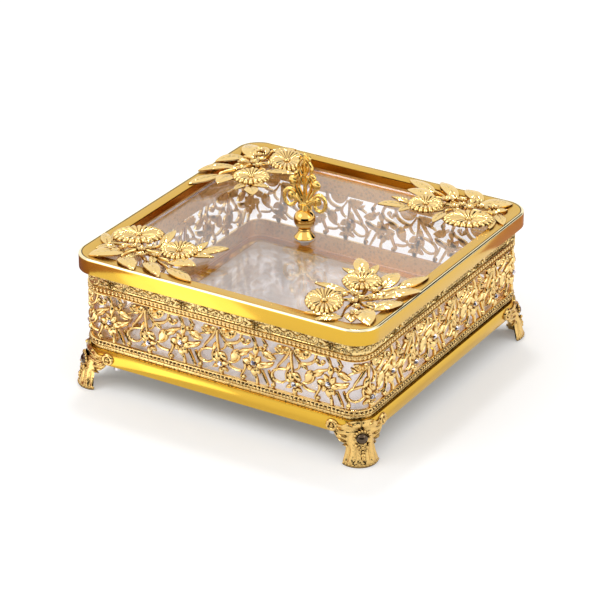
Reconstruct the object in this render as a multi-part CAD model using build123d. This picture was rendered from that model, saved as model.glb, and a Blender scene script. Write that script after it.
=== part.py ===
"""Square footed sweet box with a pierced metal gallery, a clear liner and a lift-off glazed lid.

Millimetres.  The origin is on the table under the middle of the box, +Z is up, the front is -Y.
Heights are stacked from the soles upwards, widths are half widths from the middle axis.
"""
from build123d import *
from math import cos, pi, sin, sqrt
import os

# ---------------------------------------------------------------- driving dimensions
# gallery: the pierced wall of the box
gallery_half = 95.0          # outer face of the wall sheet, from the middle
gallery_corner = 12.0        # corner radius of that face
gallery_wall = 1.2
border_low = 8.2             # plain strip under the lower row of beads
border_high = 9.6            # plain strip above the upper row of beads
bead_row = 4.3
pierced_height = 30.3
bead_relief = 0.6            # how far a bead row stands out of the sheet
flare = 1.5                  # how far the foot of the wall stands out over the rim
motif_count = 15             # repeats of the pattern round the whole box
motif_start = -2.2           # first motif, measured along the front from its middle
stone_boss = 4.6             # diameter of the cups that hold the stones
stone_boss_height = 0.9
stone_width = 3.2
stone_height = 1.3
stone_girdle = 0.4           # plain edge under a stone's facets
stone_table = 1.6            # width of a stone's flat top
end_bar = 1.3                # metal left beside each end of a strip

# base: rim, ledge, floor and feet
foot_height = 17.0           # sole to the underside of the rim
floor_thick = 2.0
ledge_thick = 1.0
ledge_width = 9.3
ledge_corner = 9.5           # corner radius of the window in the ledge
rim_height = 9.3
rim_wall = 1.5
rim_gap = 0.3                # between the rim and the gallery inside it
flare_gap = 0.3              # between the rim's top edge and the wall's flared foot
floor_gap = 0.3
leg_wall = 3.2               # a leg is a shell, open behind
leg_depth = 7.6              # front of the sole to the flat ends of the shell
leg_lean = 8.0               # lean of those ends, in degrees
leg_hollow = 10.0            # height of the hollow over the sole
flute_count = 9
flute_width = 1.6
flute_length = 9.0
flute_middle = 6.4           # middle of a flute above the sole
flute_out = 0.5              # axis of a flute outside the sole's radius, at the sole
flute_spread = 124.0         # degrees between the outermost flutes
flute_tilt = 20.0
wing_thick = 2.0
wing_knob = 7.6              # round scroll at the end of a wing
wing_knob_drop = 4.6         # middle of that scroll below the rim's top edge
wing_knob_stand = 1.0        # how far it stands out of the wing
wing_knob_back = 21.0        # middle of the scroll to the neighbouring side's rim face
dome_width = 7.4
dome_reach = 1.6             # middle of the dome past the rim's corner
dome_drop = 0.6              # middle of the dome below the rim's underside
lug_thick = 2.0
screw_inset = 4.8            # foot screw to the inner face of the rim
screw_run = 23.0             # foot screw to the neighbouring side's rim face
screw_width = 3.0
screw_head_width = 5.4
screw_head_height = 1.8
screw_clearance = 0.3

# clear liner
liner_gap = 0.5
liner_wall = 2.0
liner_drop = 1.2             # liner's edge below the gallery's edge
liner_fillet = 2.0

# lid
lid_overhang = 5.0           # lid past the gallery's outer face
lid_corner_growth = 3.0      # lid's corner radius over the gallery's
lid_rest_gap = 0.3           # gallery's top edge to the glass that rests over it
skirt_depth = 9.8
skirt_wall = 1.2
flange_width = 8.5
flange_thick = 1.0
opening_corner = 10.5
lip_wall = 1.0
lip_depth = 5.3              # top of the lid down to the glass
lid_edge_round = 1.4
pane_thick = 3.0
pane_gap = 0.5
clip_length = 12.0
clip_reach = 2.2
clip_thick = 1.0
clip_offset = 50.0           # clips to the middle of each side

# flower sprays on the lid's corners
leaf_thick = 1.6
stem_width = 2.4
stem_thick = 1.4
large_bloom = (31.0, 22.0)   # long and short diameter
small_bloom = (23.0, 22.0)
bloom_height = 4.0
bloom_wall = 1.2
bloom_foot = 0.45            # share of the diameter at the underside
bloom_turn = 121.0           # the large bloom's long axis, from the front edge
button_share = 0.28          # width of the button as a share of the short diameter
button_height = 3.2
petal_count = 20
petal_notch = 0.9            # radius of the notch between two petals
star_width = 5.0
star_height = 2.6
rivet_width = 2.0
rivet_inset = 4.5            # rivet to the lid's outer edge
rivet_head_width = 4.0
rivet_head_height = 0.8
rivet_grip = 1.0

# knob
gasket_thick = 0.5
collar_height = 5.9
collar_radius = 6.3
collar_neck = 3.8            # radius under the ball
ball_radius = 6.5
ball_flat = 5.9              # middle of the ball to its two flats
palmette_height = 36.1
palmette_half = 14.7
palmette_thick = 1.8
palmette_boss = 5.0
palmette_boss_height = 3.5
volute = (9.2, 11.6)         # width and height of the scroll at each side
volute_middle = 6.2          # over the foot of the palmette
volute_hollow = (6.8, 9.2)
volute_eye = (5.2, 6.8)
volute_eye_shift = 1.2       # the eye sits in and up from the hollow's middle
crown_hole = 2.2
crown_hole_place = (2.1, 27.5)
knob_screw_width = 3.0
knob_screw_grip = 2.6
knob_head_width = 5.6
knob_head_height = 2.0
knob_clearance = 0.4
washer_width = 9.0
washer_thick = 0.8

# ---------------------------------------------------------------- heights, soles upwards
ledge_low = foot_height + floor_thick
ledge_top = ledge_low + ledge_thick
rim_top = foot_height + rim_height
low_beads = ledge_top + border_low
pierced_low = low_beads + bead_row
pierced_top = pierced_low + pierced_height
high_beads_top = pierced_top + bead_row
gallery_top = high_beads_top + border_high
pane_low = gallery_top + lid_rest_gap
pane_top = pane_low + pane_thick
lid_top = pane_top + lip_depth
flange_low = lid_top - flange_thick
skirt_low = lid_top - skirt_depth
collar_low = pane_top + gasket_thick
ball_low = collar_low + collar_height
ball_middle = ball_low + ball_flat
palmette_low = ball_middle + ball_flat

# ---------------------------------------------------------------- widths, middle outwards
lid_half = gallery_half + lid_overhang
lid_corner = gallery_corner + lid_corner_growth
rim_half = gallery_half + rim_gap + rim_wall
rim_corner = gallery_corner + rim_gap + rim_wall
well_half = rim_half - rim_wall
well_corner = rim_corner - rim_wall
ledge_half = well_half - ledge_width
liner_half = gallery_half - gallery_wall - liner_gap
liner_corner = gallery_corner - gallery_wall - liner_gap
skirt_inner = lid_half - skirt_wall
pane_half = skirt_inner - pane_gap
pane_corner = lid_corner - skirt_wall - pane_gap
opening_half = lid_half - flange_width
rim_diagonal = (rim_half - rim_corner) * sqrt(2) + rim_corner

# ---------------------------------------------------------------- outlines of the feet and the knob
# A leg at each share of the foot's height: its radius, and its front's reach past the rim's corner.
leg_sections = ((0.0, 11.8, 7.6), (0.17, 11.0, 6.9), (0.42, 9.2, 5.7), (0.61, 8.7, 5.0), (1.2, 8.6, 2.5))
sole_radius, sole_reach = leg_sections[0][1:]
sole_middle = rim_diagonal + sole_reach - sole_radius
# Half outline of a pair of wings: distance across the corner, height over the rim's underside.
wing_outline = ((6.5, rim_height), (9.5, 6.4), (12.5, 6.2), (14.8, 8.2), (17.6, 8.4), (18.8, 4.5),
                (17.0, 0.0), (13.6, -3.2), (9.5, -5.0), (7.5, -6.2))
wing_drop = -wing_outline[-1][1]
# Half outline of a lug: distance in from the rim's corner, distance across the corner.
lug_outline = ((18.6, 17.5), (14.1, 17.5), (1.6, 7.0))
# Bell of the collar: radius and height, from its edge to its throat.
collar_curve = ((collar_radius, 0.9), (5.0, 3.2), (3.4, 4.8))
# Palmette: distance across and height.  The fan first, then the half outline over it.
palmette_fan = ((3.0, 0.5), (8.0, 7.0))
palmette_outline = ((7.0, 6.5), (10.3, 14.0), (9.6, 20.0), (6.8, 25.5), (5.0, 30.5))
# Slots of the palmette: distance across, height, length, width and tilt in degrees.
palmette_slots = (
    (2.7, 12.0, 7.0, 2.0, 82),
    (6.4, 12.5, 5.5, 2.4, 75),
    (2.5, 20.5, 5.5, 1.8, 85),
    (6.3, 20.0, 3.4, 2.4, 80),
)

# ---------------------------------------------------------------- run of the wall
wall_flat = gallery_half - gallery_corner
side_run = wall_flat + gallery_corner * pi / 4
motif_pitch = 8 * side_run / motif_count
stone_places = ((0.068, 0.772), (0.521, 0.558))

# Openings in one motif: middle along the pitch, middle below the pierced top, length, width, all as
# shares of the pitch or of the pierced height, and the tilt in degrees.
openings = (
    (-0.082, 0.356, 0.41, 0.105, 62),
    (0.060, 0.313, 0.28, 0.085, -82),
    (0.232, 0.139, 0.34, 0.080, 40),
    (0.396, 0.172, 0.26, 0.110, 50),
    (0.595, 0.119, 0.17, 0.115, 80),
    (0.765, 0.119, 0.25, 0.135, 0),
    (0.817, 0.317, 0.31, 0.090, 31),
    (0.441, 0.380, 0.15, 0.080, 60),
    (0.606, 0.396, 0.17, 0.105, 100),
    (0.318, 0.578, 0.15, 0.100, 60),
    (0.792, 0.488, 0.15, 0.072, 70),
    (0.844, 0.677, 0.30, 0.165, 25),
    (0.261, 0.736, 0.28, 0.105, 10),
    (0.400, 0.769, 0.21, 0.080, 70),
    (0.663, 0.776, 0.31, 0.085, -71),
    (0.893, 0.925, 0.31, 0.120, 0),
    (0.195, 0.925, 0.35, 0.125, 0),
    (0.470, 0.937, 0.17, 0.100, 0),
    (0.616, 0.934, 0.17, 0.110, 0),
    (0.135, 0.495, 0.28, 0.072, -76),
)

# Leaves of a spray: root, tip and width.  The two distances are taken from the lid's two edges at the
# front right corner: first from the right edge, then from the front edge.
leaves = (
    ((39, 62), (51.5, 62.5), 5.5),
    ((41, 66), (50.5, 78.5), 8.0),
    ((36, 64), (36.5, 76), 5.0),
    ((21, 57), (22, 73), 10.0),
    ((13, 61), (6.5, 80), 8.0),
    ((14, 45), (0.8, 61.5), 8.0),
    ((11, 30), (2.3, 43.3), 9.0),
    ((18, 25), (5, 11.5), 12.0),
    ((24, 11), (33, 2), 6.0),
    ((37, 40), (55, 38), 6.0),
)
large_bloom_place = (40.4, 22.2)
small_bloom_place = (34.5, 54.5)
bud_place = (17.3, 15.5)
star_places = ((28, 38), (26, 29), (22.5, 47), (28.5, 46), (19, 37))
spray_heart = (25, 34)       # where the stems meet


# ---------------------------------------------------------------- shared shapes
def slab(half, corner, low, high):
    """Square slab with rounded corners, centred on the middle axis."""
    outline = RectangleRounded(2 * half, 2 * half, corner)
    return extrude(Pos(0, 0, low) * outline, amount=high - low)


def band(half, corner, wall, low, high):
    """Square tube with rounded corners."""
    return slab(half, corner, low, high) - slab(half - wall, corner - wall, low, high)


def upright(radius, low, high, x=0.0, y=0.0):
    """Vertical round bar between two heights."""
    return Pos(x, y, (low + high) / 2) * Cylinder(radius, high - low)


def quarter_turns(shape, turns):
    return Rot(0, 0, 90 * turns) * shape


def join(pieces):
    return Compound(children=pieces)


# ---------------------------------------------------------------- base
def foot_screw_places():
    """Two screws behind each foot, in the ledge beside the rim."""
    near = well_half - screw_inset
    along = rim_half - screw_run
    right = [(near, -along), (along, -near)]
    return [Rot(0, 0, 90 * turn) * Pos(x, y, 0) for turn in range(4) for x, y in right]


def base_rim():
    """Polished rim with an inward ledge that carries the wall and the liner."""
    wall = band(rim_half, rim_corner, rim_wall, foot_height, rim_top)
    ledge = slab(well_half, well_corner, ledge_low, ledge_top)
    ledge -= slab(ledge_half, ledge_corner, ledge_low, ledge_top)
    rim = wall + ledge
    for place in foot_screw_places():
        rim -= place * upright(screw_width / 2, ledge_low, ledge_top)
    return rim


def floor_panel():
    panel = slab(well_half - floor_gap, well_corner - floor_gap, foot_height, ledge_low)
    for place in foot_screw_places():
        panel -= place * upright(screw_width / 2 + screw_clearance, foot_height, ledge_low)
    return panel


def leg_loft(sections, wall=0.0):
    """Round leg through the given sections on the corner's diagonal; a wall makes it slimmer."""
    rings = [Pos(rim_diagonal + reach - radius, 0, share * foot_height) * Circle(radius - wall)
             for share, radius, reach in sections]
    return loft(rings)


def foot_column():
    """Fluted shell of a leg on the corner's diagonal: it leans out to the sole and is open behind."""
    leg = leg_loft(leg_sections)
    leg -= leg_loft(leg_sections[:-1], leg_wall) & upright(2 * rim_diagonal, 0, leg_hollow)
    inward = (Align.MAX, Align.CENTER, Align.CENTER)
    behind = Box(2 * sole_radius, 4 * sole_radius, 6 * foot_height, align=inward)
    leg -= Pos(rim_diagonal + sole_reach - leg_depth, 0, 0) * Rot(0, -leg_lean, 0) * behind
    for index in range(flute_count):
        angle = flute_spread * (index / (flute_count - 1) - 0.5)
        flute = Rot(0, 0, angle) * Pos(sole_radius + flute_out, 0, 0) * Rot(0, -flute_tilt, 0)
        groove = flute * Pos(0, 0, flute_middle) * Cylinder(flute_width / 2, flute_length)
        leg -= Pos(sole_middle, 0, 0) * groove
    return leg


def foot_wings():
    """Two leaves that wrap the corner of the rim, each ending in a round knob."""
    low = foot_height - wing_drop
    outer = band(rim_half + wing_thick, rim_corner + wing_thick, wing_thick, low, rim_top)
    right = [(x, foot_height + z) for x, z in wing_outline]
    left = [(-x, z) for x, z in reversed(right)]
    face = Plane(origin=(0, 0, 0), x_dir=(0, 1, 0), z_dir=(1, 0, 0))
    outline = face * Polygon(*right, *left, align=None)
    window = extrude(outline, amount=rim_diagonal + 2 * wing_thick, dir=(1, 0, 0))
    wings = Rot(0, 0, 45) * outer & window
    upright_end = (Align.CENTER, Align.CENTER, Align.MIN)
    knob = Rot(0, 90, 0) * Cylinder(wing_knob / 2, wing_thick + wing_knob_stand, align=upright_end)
    along = rim_half - wing_knob_back
    for side in (1, -1):
        spot = Rot(0, 0, -45 * side) * Pos(rim_half, side * along, rim_top - wing_knob_drop)
        wings += spot * knob
    return wings


def foot():
    """One foot, on the diagonal that runs along +X; it is turned to its corner afterwards."""
    spots = [(rim_diagonal - back, across) for back, across in lug_outline]
    outline = Polygon(*spots, *[(x, -y) for x, y in reversed(spots)], align=None)
    lug = extrude(Pos(0, 0, foot_height - lug_thick) * outline, amount=lug_thick, dir=(0, 0, 1))
    dome = Pos(rim_diagonal + dome_reach, 0, foot_height - dome_drop) * Sphere(dome_width / 2)
    body = foot_column() + foot_wings() + lug + dome
    body -= Rot(0, 0, 45) * slab(rim_half, rim_corner, foot_height, 2 * rim_top)
    body = Rot(0, 0, -45) * body
    for place in foot_screw_places()[:2]:
        body -= place * upright(screw_width / 2 + screw_clearance, foot_height - lug_thick, foot_height)
    return body


def foot_screws():
    """Eight pan head screws: through the lug and the floor, into the ledge."""
    seat = foot_height - lug_thick
    screw = upright(screw_width / 2, seat, ledge_top)
    screw += upright(screw_head_width / 2, seat - screw_head_height, seat)
    return join([place * screw for place in foot_screw_places()])


# ---------------------------------------------------------------- gallery
def wall_plane(run, height, out=0.0):
    """Plane on the wall's outer face: x along the wall, y up, z outwards."""
    turn = 0.0
    if abs(run) > wall_flat:
        turn = (abs(run) - wall_flat) / gallery_corner
    if run < 0:
        turn = -turn
    along = max(-wall_flat, min(wall_flat, run))
    normal = (sin(turn), -cos(turn))
    x = along + (gallery_corner + out) * normal[0]
    y = -wall_flat + (gallery_corner + out) * normal[1]
    return Plane(origin=(x, y, height), x_dir=(cos(turn), sin(turn), 0), z_dir=(*normal, 0))


def motif_runs(side):
    """Start of each motif that reaches into one side, along that side's own run."""
    first = motif_start - 2 * side_run * side
    steps = range(-motif_count, 2 * motif_count)
    runs = [first + step * motif_pitch for step in steps]
    return [run for run in runs if abs(run) < side_run + motif_pitch]


def stone_planes(side):
    planes = []
    for start in motif_runs(side):
        for along, drop in stone_places:
            run = start + along * motif_pitch
            if abs(run) < side_run - stone_boss / 2:
                height = pierced_top - drop * pierced_height
                planes.append(wall_plane(run, height))
    return planes


def gallery_openings(side):
    cuts = []
    for start in motif_runs(side):
        for along, drop, length, width, tilt in openings:
            run = start + along * motif_pitch
            if abs(run) + length * pierced_height / 2 < side_run - end_bar:
                place = wall_plane(run, pierced_top - drop * pierced_height)
                slot = SlotOverall(length * pierced_height, width * pierced_height)
                cuts.append(extrude(place * Rot(0, 0, tilt) * slot, amount=2 * gallery_wall, both=True))
    return cuts


def gallery_strip(side):
    """A quarter of the pierced wall, mitred at the middle of both corners."""
    wall = band(gallery_half, gallery_corner, gallery_wall, ledge_top, gallery_top)
    for low, high, out in (
        (rim_top + flare_gap, low_beads, flare),
        (low_beads, pierced_low, bead_relief),
        (pierced_top, high_beads_top, bead_relief),
    ):
        wall += band(gallery_half + out, gallery_corner + out, gallery_wall + out, low, high)
    far = 2 * gallery_half
    quarter = extrude(Polygon((0, 0), (-far, -far), (far, -far), align=None), amount=lid_top)
    strip = wall & quarter
    strip -= gallery_openings(side)
    for plane in stone_planes(side):
        height = gallery_wall + stone_boss_height
        cup = Cylinder(stone_boss / 2, height, align=(Align.CENTER, Align.CENTER, Align.MIN))
        strip += plane * Pos(0, 0, -gallery_wall) * cup
    return quarter_turns(strip, side)


def gallery_stones(side):
    """Flat backed stones, glued into their cups."""
    upwards = (Align.CENTER, Align.CENTER, Align.MIN)
    stone = Cylinder(stone_width / 2, stone_girdle, align=upwards)
    facets = Cone(stone_width / 2, stone_table / 2, stone_height - stone_girdle, align=upwards)
    stone += Pos(0, 0, stone_girdle) * facets
    lift = Pos(0, 0, stone_boss_height)
    return join([quarter_turns(plane * lift * stone, side) for plane in stone_planes(side)])


# ---------------------------------------------------------------- liner
def liner_tub():
    top = gallery_top - liner_drop
    tub = slab(liner_half, liner_corner, ledge_top, top)
    tub = fillet(tub.faces().sort_by(Axis.Z)[0].edges(), liner_fillet)
    well = slab(liner_half - liner_wall, liner_corner - liner_wall, ledge_top + liner_wall, top)
    well = fillet(well.faces().sort_by(Axis.Z)[0].edges(), liner_fillet)
    return tub - well


# ---------------------------------------------------------------- lid
def lid_frame():
    """Skirt, flat flange and an inner lip that ends on the glass."""
    shell = slab(lid_half, lid_corner, skirt_low, lid_top)
    shell = fillet(shell.faces().sort_by(Axis.Z)[-1].edges(), lid_edge_round)
    shell -= slab(skirt_inner, lid_corner - skirt_wall, skirt_low, flange_low)
    shell += slab(opening_half + lip_wall, opening_corner + lip_wall, pane_top, lid_top)
    shell -= slab(opening_half, opening_corner, pane_top, lid_top)
    for place in rivet_places():
        shell -= place * upright(rivet_width / 2, flange_low, lid_top)
    return shell


def lid_pane():
    pane = slab(pane_half, pane_corner, pane_low, pane_top)
    return pane - upright((knob_screw_width + knob_clearance) / 2, pane_low, pane_top)


def pane_clips():
    """Eight small tabs soldered inside the skirt, under the edge of the glass."""
    clip = Box(clip_length, clip_reach, clip_thick, align=(Align.CENTER, Align.MIN, Align.MAX))
    clips = []
    for turn in range(4):
        for along in (-clip_offset, clip_offset):
            clips.append(quarter_turns(Pos(along, -skirt_inner, pane_low) * clip, turn))
    return join(clips)


# ---------------------------------------------------------------- flower sprays
def corner_point(distances):
    """Point on the lid from its distances to the right edge and the front edge."""
    return (lid_half - distances[0], distances[1] - lid_half)


def line_between(start, end):
    """Place at a start point with x towards the end point, and the length between them."""
    (x0, y0), (x1, y1) = corner_point(start), corner_point(end)
    reach = Vector(x1 - x0, y1 - y0)
    place = Plane(origin=(x0, y0, lid_top), x_dir=(reach.X, reach.Y, 0), z_dir=(0, 0, 1))
    return place, reach.length


def leaf(root, tip, width):
    place, length = line_between(root, tip)
    edge = ThreePointArc((0, 0), (length / 2, width / 2), (length, 0))
    other = ThreePointArc((length, 0), (length / 2, -width / 2), (0, 0))
    return extrude(place * make_face(edge + other), amount=leaf_thick)


def stem(start, end):
    place, length = line_between(start, end)
    bar = Box(length + stem_width, stem_width, stem_thick, align=(Align.MIN, Align.CENTER, Align.MIN))
    return place * Pos(-stem_width / 2, 0, 0) * bar


def bloom(centre, diameters, turn):
    """Oval dish with a notch between each two petals and a button in the middle."""
    long, short = diameters
    x, y = corner_point(centre)
    lower = Ellipse(long / 2 * bloom_foot, short / 2 * bloom_foot)
    upper = Ellipse(long / 2, short / 2)
    dish = loft([lower, Pos(0, 0, bloom_height) * upper])
    hollow_low = Ellipse(long / 2 * bloom_foot - bloom_wall, short / 2 * bloom_foot - bloom_wall)
    hollow_high = Ellipse(long / 2 - bloom_wall, short / 2 - bloom_wall)
    dish -= loft([Pos(0, 0, bloom_wall) * hollow_low, Pos(0, 0, bloom_height) * hollow_high])
    for index in range(petal_count):
        angle = 2 * pi * (index + 0.5) / petal_count
        spot = Pos(long / 2 * cos(angle), short / 2 * sin(angle), bloom_height / 2)
        dish -= spot * Cylinder(petal_notch, 2 * bloom_height)
    dish += upright(short * button_share / 2, 0, button_height)
    return Pos(x, y, lid_top) * Rot(0, 0, turn) * dish


def star(centre):
    x, y = corner_point(centre)
    return upright(star_width / 2, lid_top, lid_top + star_height, x, y)


def rivet_places():
    """Two rivets a corner, each under a leaf that lies on the flange."""
    spots = [corner_point((30.5, rivet_inset)), corner_point((rivet_inset, 56.9))]
    return [Rot(0, 0, 90 * turn) * Pos(x, y, 0) for turn in range(4) for x, y in spots]


def corner_spray():
    """Cast spray for the front right corner: leaves, two daisies, a bud and small stars."""
    spray = bloom(large_bloom_place, large_bloom, bloom_turn)
    spray += bloom(small_bloom_place, small_bloom, 0)
    for root, tip, width in leaves:
        spray += leaf(root, tip, width)
        spray += stem(spray_heart, root)
    for place in star_places:
        spray += star(place)
    spray += star(bud_place)
    for place in (large_bloom_place, small_bloom_place, bud_place, *star_places):
        spray += stem(spray_heart, place)
    for place in rivet_places()[:2]:
        spray -= place * upright(rivet_width / 2, lid_top, lid_top + rivet_grip)
    return spray


def spray_rivets():
    rivet = upright(rivet_width / 2, flange_low, lid_top + rivet_grip)
    rivet += upright(rivet_head_width / 2, flange_low - rivet_head_height, flange_low)
    return join([place * rivet for place in rivet_places()])


# ---------------------------------------------------------------- knob
def bored(shape, low, high):
    return shape - upright((knob_screw_width + knob_clearance) / 2, low, high)


def knob_gasket():
    return bored(upright(collar_radius, pane_top, collar_low), pane_top, collar_low)


def knob_collar():
    """Bell shaped collar under the ball."""
    edge, middle, throat = collar_curve
    profile = Polyline((0, 0), (collar_radius, 0), edge) + ThreePointArc(edge, middle, throat)
    profile += Polyline(throat, (collar_neck, collar_height), (0, collar_height), (0, 0))
    bell = revolve(Plane.XZ * make_face(profile), Axis.Z)
    return bored(Pos(0, 0, collar_low) * bell, collar_low, ball_low)


def knob_ball():
    ball = Pos(0, 0, ball_middle) * Sphere(ball_radius)
    ball &= upright(ball_radius, ball_low, palmette_low)
    return bored(ball, ball_low, palmette_low)


def knob_scroll():
    """Open scroll at one side of the palmette."""
    hollow = Ellipse(volute_hollow[0] / 2, volute_hollow[1] / 2)
    hollow -= Pos(-volute_eye_shift, volute_eye_shift) * Ellipse(volute_eye[0] / 2, volute_eye[1] / 2)
    return Ellipse(volute[0] / 2, volute[1] / 2) - hollow


def knob_palmette():
    """Flat pierced palmette that stands across the lid, on a small boss."""
    mirrored = [(-x, z) for x, z in reversed(palmette_outline)]
    outline = Polyline(*palmette_outline, (0, palmette_height), *mirrored, palmette_outline[0])
    fan = Polygon(*palmette_fan, *[(-x, z) for x, z in reversed(palmette_fan)], align=None)
    plate = make_face(outline) + fan
    for side in (1, -1):
        place = Pos(side * (palmette_half - volute[0] / 2), volute_middle)
        plate += place * Rot(0, 90 - 90 * side, 0) * knob_scroll()
        for x, z, length, width, tilt in palmette_slots:
            plate -= Pos(side * x, z) * Rot(0, 0, side * tilt) * SlotOverall(length, width)
        plate -= Pos(side * crown_hole_place[0], crown_hole_place[1]) * Circle(crown_hole / 2)
    body = extrude(Plane.XZ * plate, amount=palmette_thick / 2, both=True)
    body += upright(palmette_boss / 2, 0, palmette_boss_height)
    body -= upright(knob_screw_width / 2, 0, knob_screw_grip)
    return Pos(0, 0, palmette_low) * body


def knob_washer():
    low = pane_low - washer_thick
    return bored(upright(washer_width / 2, low, pane_low), low, pane_low)


def knob_screw():
    seat = pane_low - washer_thick
    screw = upright(knob_screw_width / 2, seat, palmette_low + knob_screw_grip)
    return screw + upright(knob_head_width / 2, seat - knob_head_height, seat)


# ---------------------------------------------------------------- write the parts
def all_parts():
    parts = {
        "base_rim": base_rim(),
        "floor_panel": floor_panel(),
        "liner_tub": liner_tub(),
        "foot_screws": foot_screws(),
        "lid_frame": lid_frame(),
        "lid_pane": lid_pane(),
        "pane_clips": pane_clips(),
        "spray_rivets": spray_rivets(),
        "knob_gasket": knob_gasket(),
        "knob_collar": knob_collar(),
        "knob_ball": knob_ball(),
        "knob_palmette": knob_palmette(),
        "knob_washer": knob_washer(),
        "knob_screw": knob_screw(),
    }
    one_foot = foot()
    one_spray = corner_spray()
    for turns, corner in enumerate(("front_right", "back_right", "back_left", "front_left")):
        parts[f"foot_{corner}"] = quarter_turns(one_foot, turns)
        parts[f"spray_{corner}"] = quarter_turns(one_spray, turns)
    for side, name in enumerate(("front", "right", "back", "left")):
        parts[f"gallery_{name}"] = gallery_strip(side)
        parts[f"stones_{name}"] = gallery_stones(side)
    return parts


os.makedirs("parts", exist_ok=True)
for name, shape in all_parts().items():
    export_step(shape, f"parts/{name}.step")
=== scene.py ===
"""Gilt sweet box: a pierced wall with set stones on four cast feet, under a glazed lid with flower sprays.

Shapes are drawn in millimetres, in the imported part's own frame, and scaled to metres at the end.
"""
from math import acos, cos, exp, pi, radians, sin, sqrt, tan

import bmesh
import bpy
from mathutils import Matrix, Vector


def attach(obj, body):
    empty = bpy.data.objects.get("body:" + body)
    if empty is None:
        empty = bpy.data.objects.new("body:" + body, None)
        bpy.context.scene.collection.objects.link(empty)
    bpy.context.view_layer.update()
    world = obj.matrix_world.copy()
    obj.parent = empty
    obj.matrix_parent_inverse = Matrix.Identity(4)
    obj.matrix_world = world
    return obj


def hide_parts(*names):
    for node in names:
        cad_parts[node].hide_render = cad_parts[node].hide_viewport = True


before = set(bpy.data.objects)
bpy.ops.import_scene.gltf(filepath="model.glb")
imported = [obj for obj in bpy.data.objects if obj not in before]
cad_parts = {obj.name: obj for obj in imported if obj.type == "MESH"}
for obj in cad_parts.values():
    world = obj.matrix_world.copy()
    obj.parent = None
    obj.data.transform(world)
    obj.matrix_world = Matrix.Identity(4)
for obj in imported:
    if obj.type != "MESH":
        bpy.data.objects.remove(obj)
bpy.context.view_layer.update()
MM = 0.001

# ------------------------------------------------------------------ sizes shared with the part, in mm
WALL_HALF, WALL_CORNER, WALL_SHEET = 95.0, 12.0, 1.2
PIERCED_LOW, PIERCED_TOP = 32.5, 62.8
LOW_BEADS, HIGH_BEADS_TOP, WALL_TOP = 28.2, 67.1, 76.7
LEDGE_TOP = 20.0
RIM_LOW, RIM_TOP, RIM_HALF, RIM_CORNER = 17.0, 26.3, 96.8, 13.8
LID_HALF, LID_CORNER, LID_TOP, SKIRT_LOW = 100.0, 15.0, 85.3, 75.5
OPENING_HALF, OPENING_CORNER = 91.5, 10.5
PANE_TOP = 80.0
COLLAR_LOW, BALL_MIDDLE, PALMETTE_LOW = 80.5, 92.3, 98.2
# The pattern's repeats round the wall, and how far past a repeat's start its drawing has its zero.
MOTIFS, MOTIF_START, MOTIF_SHIFT = 15, -2.2, 1.4
BEADS_EACH, LUMPS_EACH, LUMP_LEVEL = 18, 22, 30.3
# A stone whose middle comes nearer than this to the end of a side is left out.
STONE_KEEP_OFF = 2.3
# Points that are closer than this are one point, in drawings and in rings.
WELD, RING_WELD = 0.004, 0.002

WALL_FLAT = WALL_HALF - WALL_CORNER
SIDE_RUN = WALL_FLAT + WALL_CORNER * pi / 4
ROUND = 8 * SIDE_RUN
PITCH = ROUND / MOTIFS
SIDES = ("front", "right", "back", "left")
CORNERS = ("front_right", "back_right", "back_left", "front_left")
RIM_RUN = RIM_HALF - RIM_CORNER + RIM_CORNER * pi / 4
RIM_DIAGONAL = (RIM_HALF - RIM_CORNER) * sqrt(2) + RIM_CORNER


# ------------------------------------------------------------------ places
def round_square(run, half, corner, out=0.0):
    """Point and outward normal on a rounded square; run starts at the middle of the front."""
    flat = half - corner
    side_run = flat + corner * pi / 4
    side = round(run / (2 * side_run))
    local = run - 2 * side_run * side
    turn = 0.0
    if abs(local) > flat:
        turn = (abs(local) - flat) / corner * (1 if local > 0 else -1)
    along = max(-flat, min(flat, local))
    normal = Vector((sin(turn), -cos(turn), 0))
    point = Vector((along, -flat, 0)) + normal * (corner + out)
    spin = Matrix.Rotation(side * pi / 2, 3, "Z")
    return spin @ point, spin @ normal


def bent(start, half, corner, level, up=1.0, out=0.0, swell=1.0):
    """Bends a flat drawing (along, height, out) round a square; start and level are where its zero goes."""
    def place(co):
        point, _ = round_square(start + co.x, half, corner, co.z * swell + out)
        return Vector((point.x, point.y, level + co.y * up))
    return place


def smooth_path(points, steps):
    """Catmull-Rom run through the points; each point may carry a width as its last number."""
    knots = [points[0], *points, points[-1]]
    run = []
    for i in range(1, len(knots) - 2):
        a, b, c, d = knots[i - 1:i + 3]
        for step in range(steps):
            t = step / steps
            run.append(tuple(
                0.5 * (2 * q + (r - p) * t + (2 * p - 5 * q + 4 * r - s) * t ** 2
                       + (3 * q - p - 3 * r + s) * t ** 3)
                for p, q, r, s in zip(a, b, c, d)))
    run.append(tuple(points[-1]))
    return run


# ------------------------------------------------------------------ basic forms
def mesh_from(name, bm):
    """Mesh of a drawing; the drawing is used up."""
    mesh = bpy.data.meshes.new(name)
    bm.to_mesh(mesh)
    bm.free()
    return mesh


def add_object(name, bm):
    """Object in metres from a drawing in mm."""
    mesh = mesh_from(name, bm)
    mesh.transform(Matrix.Scale(MM, 4))
    made = bpy.data.objects.new(name, mesh)
    bpy.context.scene.collection.objects.link(made)
    return made


def once(items):
    """The items without repeats, in their own order."""
    return list(dict.fromkeys(items))


def first_ring(bm, count):
    """Ring of points that a sweep starts from, and its edges."""
    ring = bmesh.ops.create_circle(bm, segments=count, radius=1.0)["verts"]
    return ring, once(edge for vert in ring for edge in vert.link_edges)


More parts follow.
